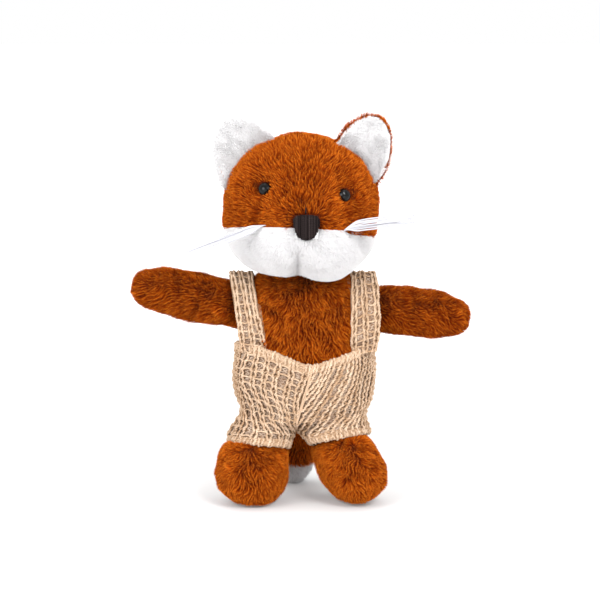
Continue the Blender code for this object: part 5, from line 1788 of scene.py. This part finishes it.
def build_nose(tree, felt, thread):
    """A padded shield, covered side by side with upright satin stitches."""
    place, normal = surface_on(tree, NOSE_X, NOSE_Z)
    frame_ = facing(place + np.array([0, -1.2, 0]), normal + np.array([0.0, -1.5, 0.0]))
    right = np.array([(x * NOSE_WIDTH * 0.46, z * NOSE_HEIGHT * 0.96) for x, z in NOSE_OUTLINE_SHARES])
    t = np.linspace(0, 1, len(right))
    fine = through(np.column_stack([t, right]), np.linspace(0, 1, 41))
    outline = np.vstack([fine, [(-x, z) for x, z in fine[-2:0:-1]]])

    def crown(share):
        return (NOSE_THICKNESS - 0.5) * np.sqrt(np.clip(1 - share**2.4, 0, 1))

    rings = [[(x, z, -3.0) for x, z in outline], [(x, z, -0.6) for x, z in outline]]
    for share in (1.0, 0.97, 0.9, 0.78, 0.62, 0.45, 0.25):
        rings.append([(x * share, z * share, crown(share)) for x, z in outline])
    shield = make_object("nose_form", moved(skin(rings), frame_), felt)
    threads = Yarns()
    draw = np.random.default_rng(5)
    turn = np.array(frame_)
    wide = NOSE_WIDTH * 0.47
    sides = np.array(NOSE_OUTLINE_SHARES)
    widest = int(np.argmax(sides[:, 0]))
    for x in np.linspace(-0.97, 0.97, 19):
        low = np.interp(abs(x), sides[: widest + 1, 0], sides[: widest + 1, 1]) * NOSE_HEIGHT
        high = np.interp(abs(x), sides[widest:, 0][::-1], sides[widest:, 1][::-1]) * NOSE_HEIGHT
        line = np.linspace(0, 1, 19)
        z = high + 0.1 + (low - high - 0.2) * line
        across = (x + 0.012 * draw.normal()) * wide * (1 + 0.02 * draw.normal() * line)
        edge = np.maximum(np.abs(across) / wide, np.abs(2 * line - 1) ** 2.5)
        local = np.stack([across, z, crown(edge * 0.97) + 0.12 + 0.04 * draw.normal()], 1)
        path = local @ turn[:3, :3].T + turn[:3, 3]
        normals = np.broadcast_to(turn[:3, 2], path.shape)
        threads.yarn(path, normals, 0.36, 0.5 + 0.25 * draw.normal(), plies=2, pitch=1.6, start=draw.random())
    path = []
    for share in np.linspace(0, 1, 9):
        spot, out = surface_on(tree, NOSE_X - 0.1, NOSE_Z + NOSE_HEIGHT * 0.5 - 0.3 + 3.6 * share)
        path.append(spot + out * (1.7 - 1.0 * share))
    threads.yarn(np.array(path), np.tile(np.array([0.0, -1.0, 0.3]), (9, 1)), 0.3, 0.4, plies=1)
    stitches = threads.build("nose_stitches", thread)
    ride(shield, "head", "black_thread", "nose")
    ride(stitches, "head", "black_thread")


def build_whiskers(side, tree, thread):
    """A tuft of stiff threads that leave the cheek together and spread on the way out."""
    root, normal = surface_on(tree, *WHISKER_ROOT[side])
    run = WHISKER_TIP[side] - root
    yarns = Yarns()
    draw = np.random.default_rng(91 + (side == "right"))
    share = np.linspace(0, 1, 40)
    for place in np.linspace(-1, 1, WHISKER_COUNT):
        wave = 0.10 * np.sin(share * (7 + 4 * draw.random()) + draw.random() * 6) * ease(share * 3)
        opening = WHISKER_SPREAD[side] * (place + 0.1 * draw.normal()) * ease(share / 0.24)
        path = root + normal * 1.2 + (run - normal * 1.2) * share[:, None]
        path[:, 2] += WHISKER_BOW[side] * np.sin(math.pi * np.sqrt(share)) + opening + wave
        path[:, 1] += 0.4 * draw.normal() * share * (1 - share) * 2
        path = root + (path - root) * (1 - 0.015 * draw.random())
        normals = np.broadcast_to(np.array([0.0, -0.6, 0.8]), path.shape)
        radius = WHISKER_RADIUS * (0.7 + 0.3 * ease(share / 0.2))
        yarns.yarn(path, normals, radius, 0.5 + 0.2 * draw.normal(), plies=1, sides=6)
    ride(yarns.build(f"whisker_threads_{side}", thread), "head", "whisker_thread", f"whiskers_{side}")


def main():
    place_camera()
    build_stage()
    dress_eyes()
    brown, white = brown_plush(), white_plush()
    build_torso(brown)
    for side in SIDES:
        build_arm(side, brown)
        build_leg(side, brown)
    build_tail(brown, white)
    head = tree_of(build_head(brown, white))
    for side in SIDES:
        build_ear(side, brown, white)
    build_nose(head, plain_material("black_felt", (0.0035, 0.003, 0.003), 0.85, 0.12), black_stitches())
    thread = whisker_thread()
    for side in SIDES:
        build_whiskers(side, head, thread)
    yarn, back_yarn = beige_yarn(), beige_back_yarn_in_painted_shade()
    # A beige lining under the knit, whose dark colour is partly painted shade inside the windows
    under = ground_material("beige_lining_and_painted_shade", (0.42, 0.27, 0.165), (0.25, 0.15, 0.085), 0.8)
    for build in (build_dungarees, build_strap):
        for side in SIDES:
            build(side, yarn, back_yarn, under)


main()
bpy.context.scene.view_settings.view_transform = "Standard"
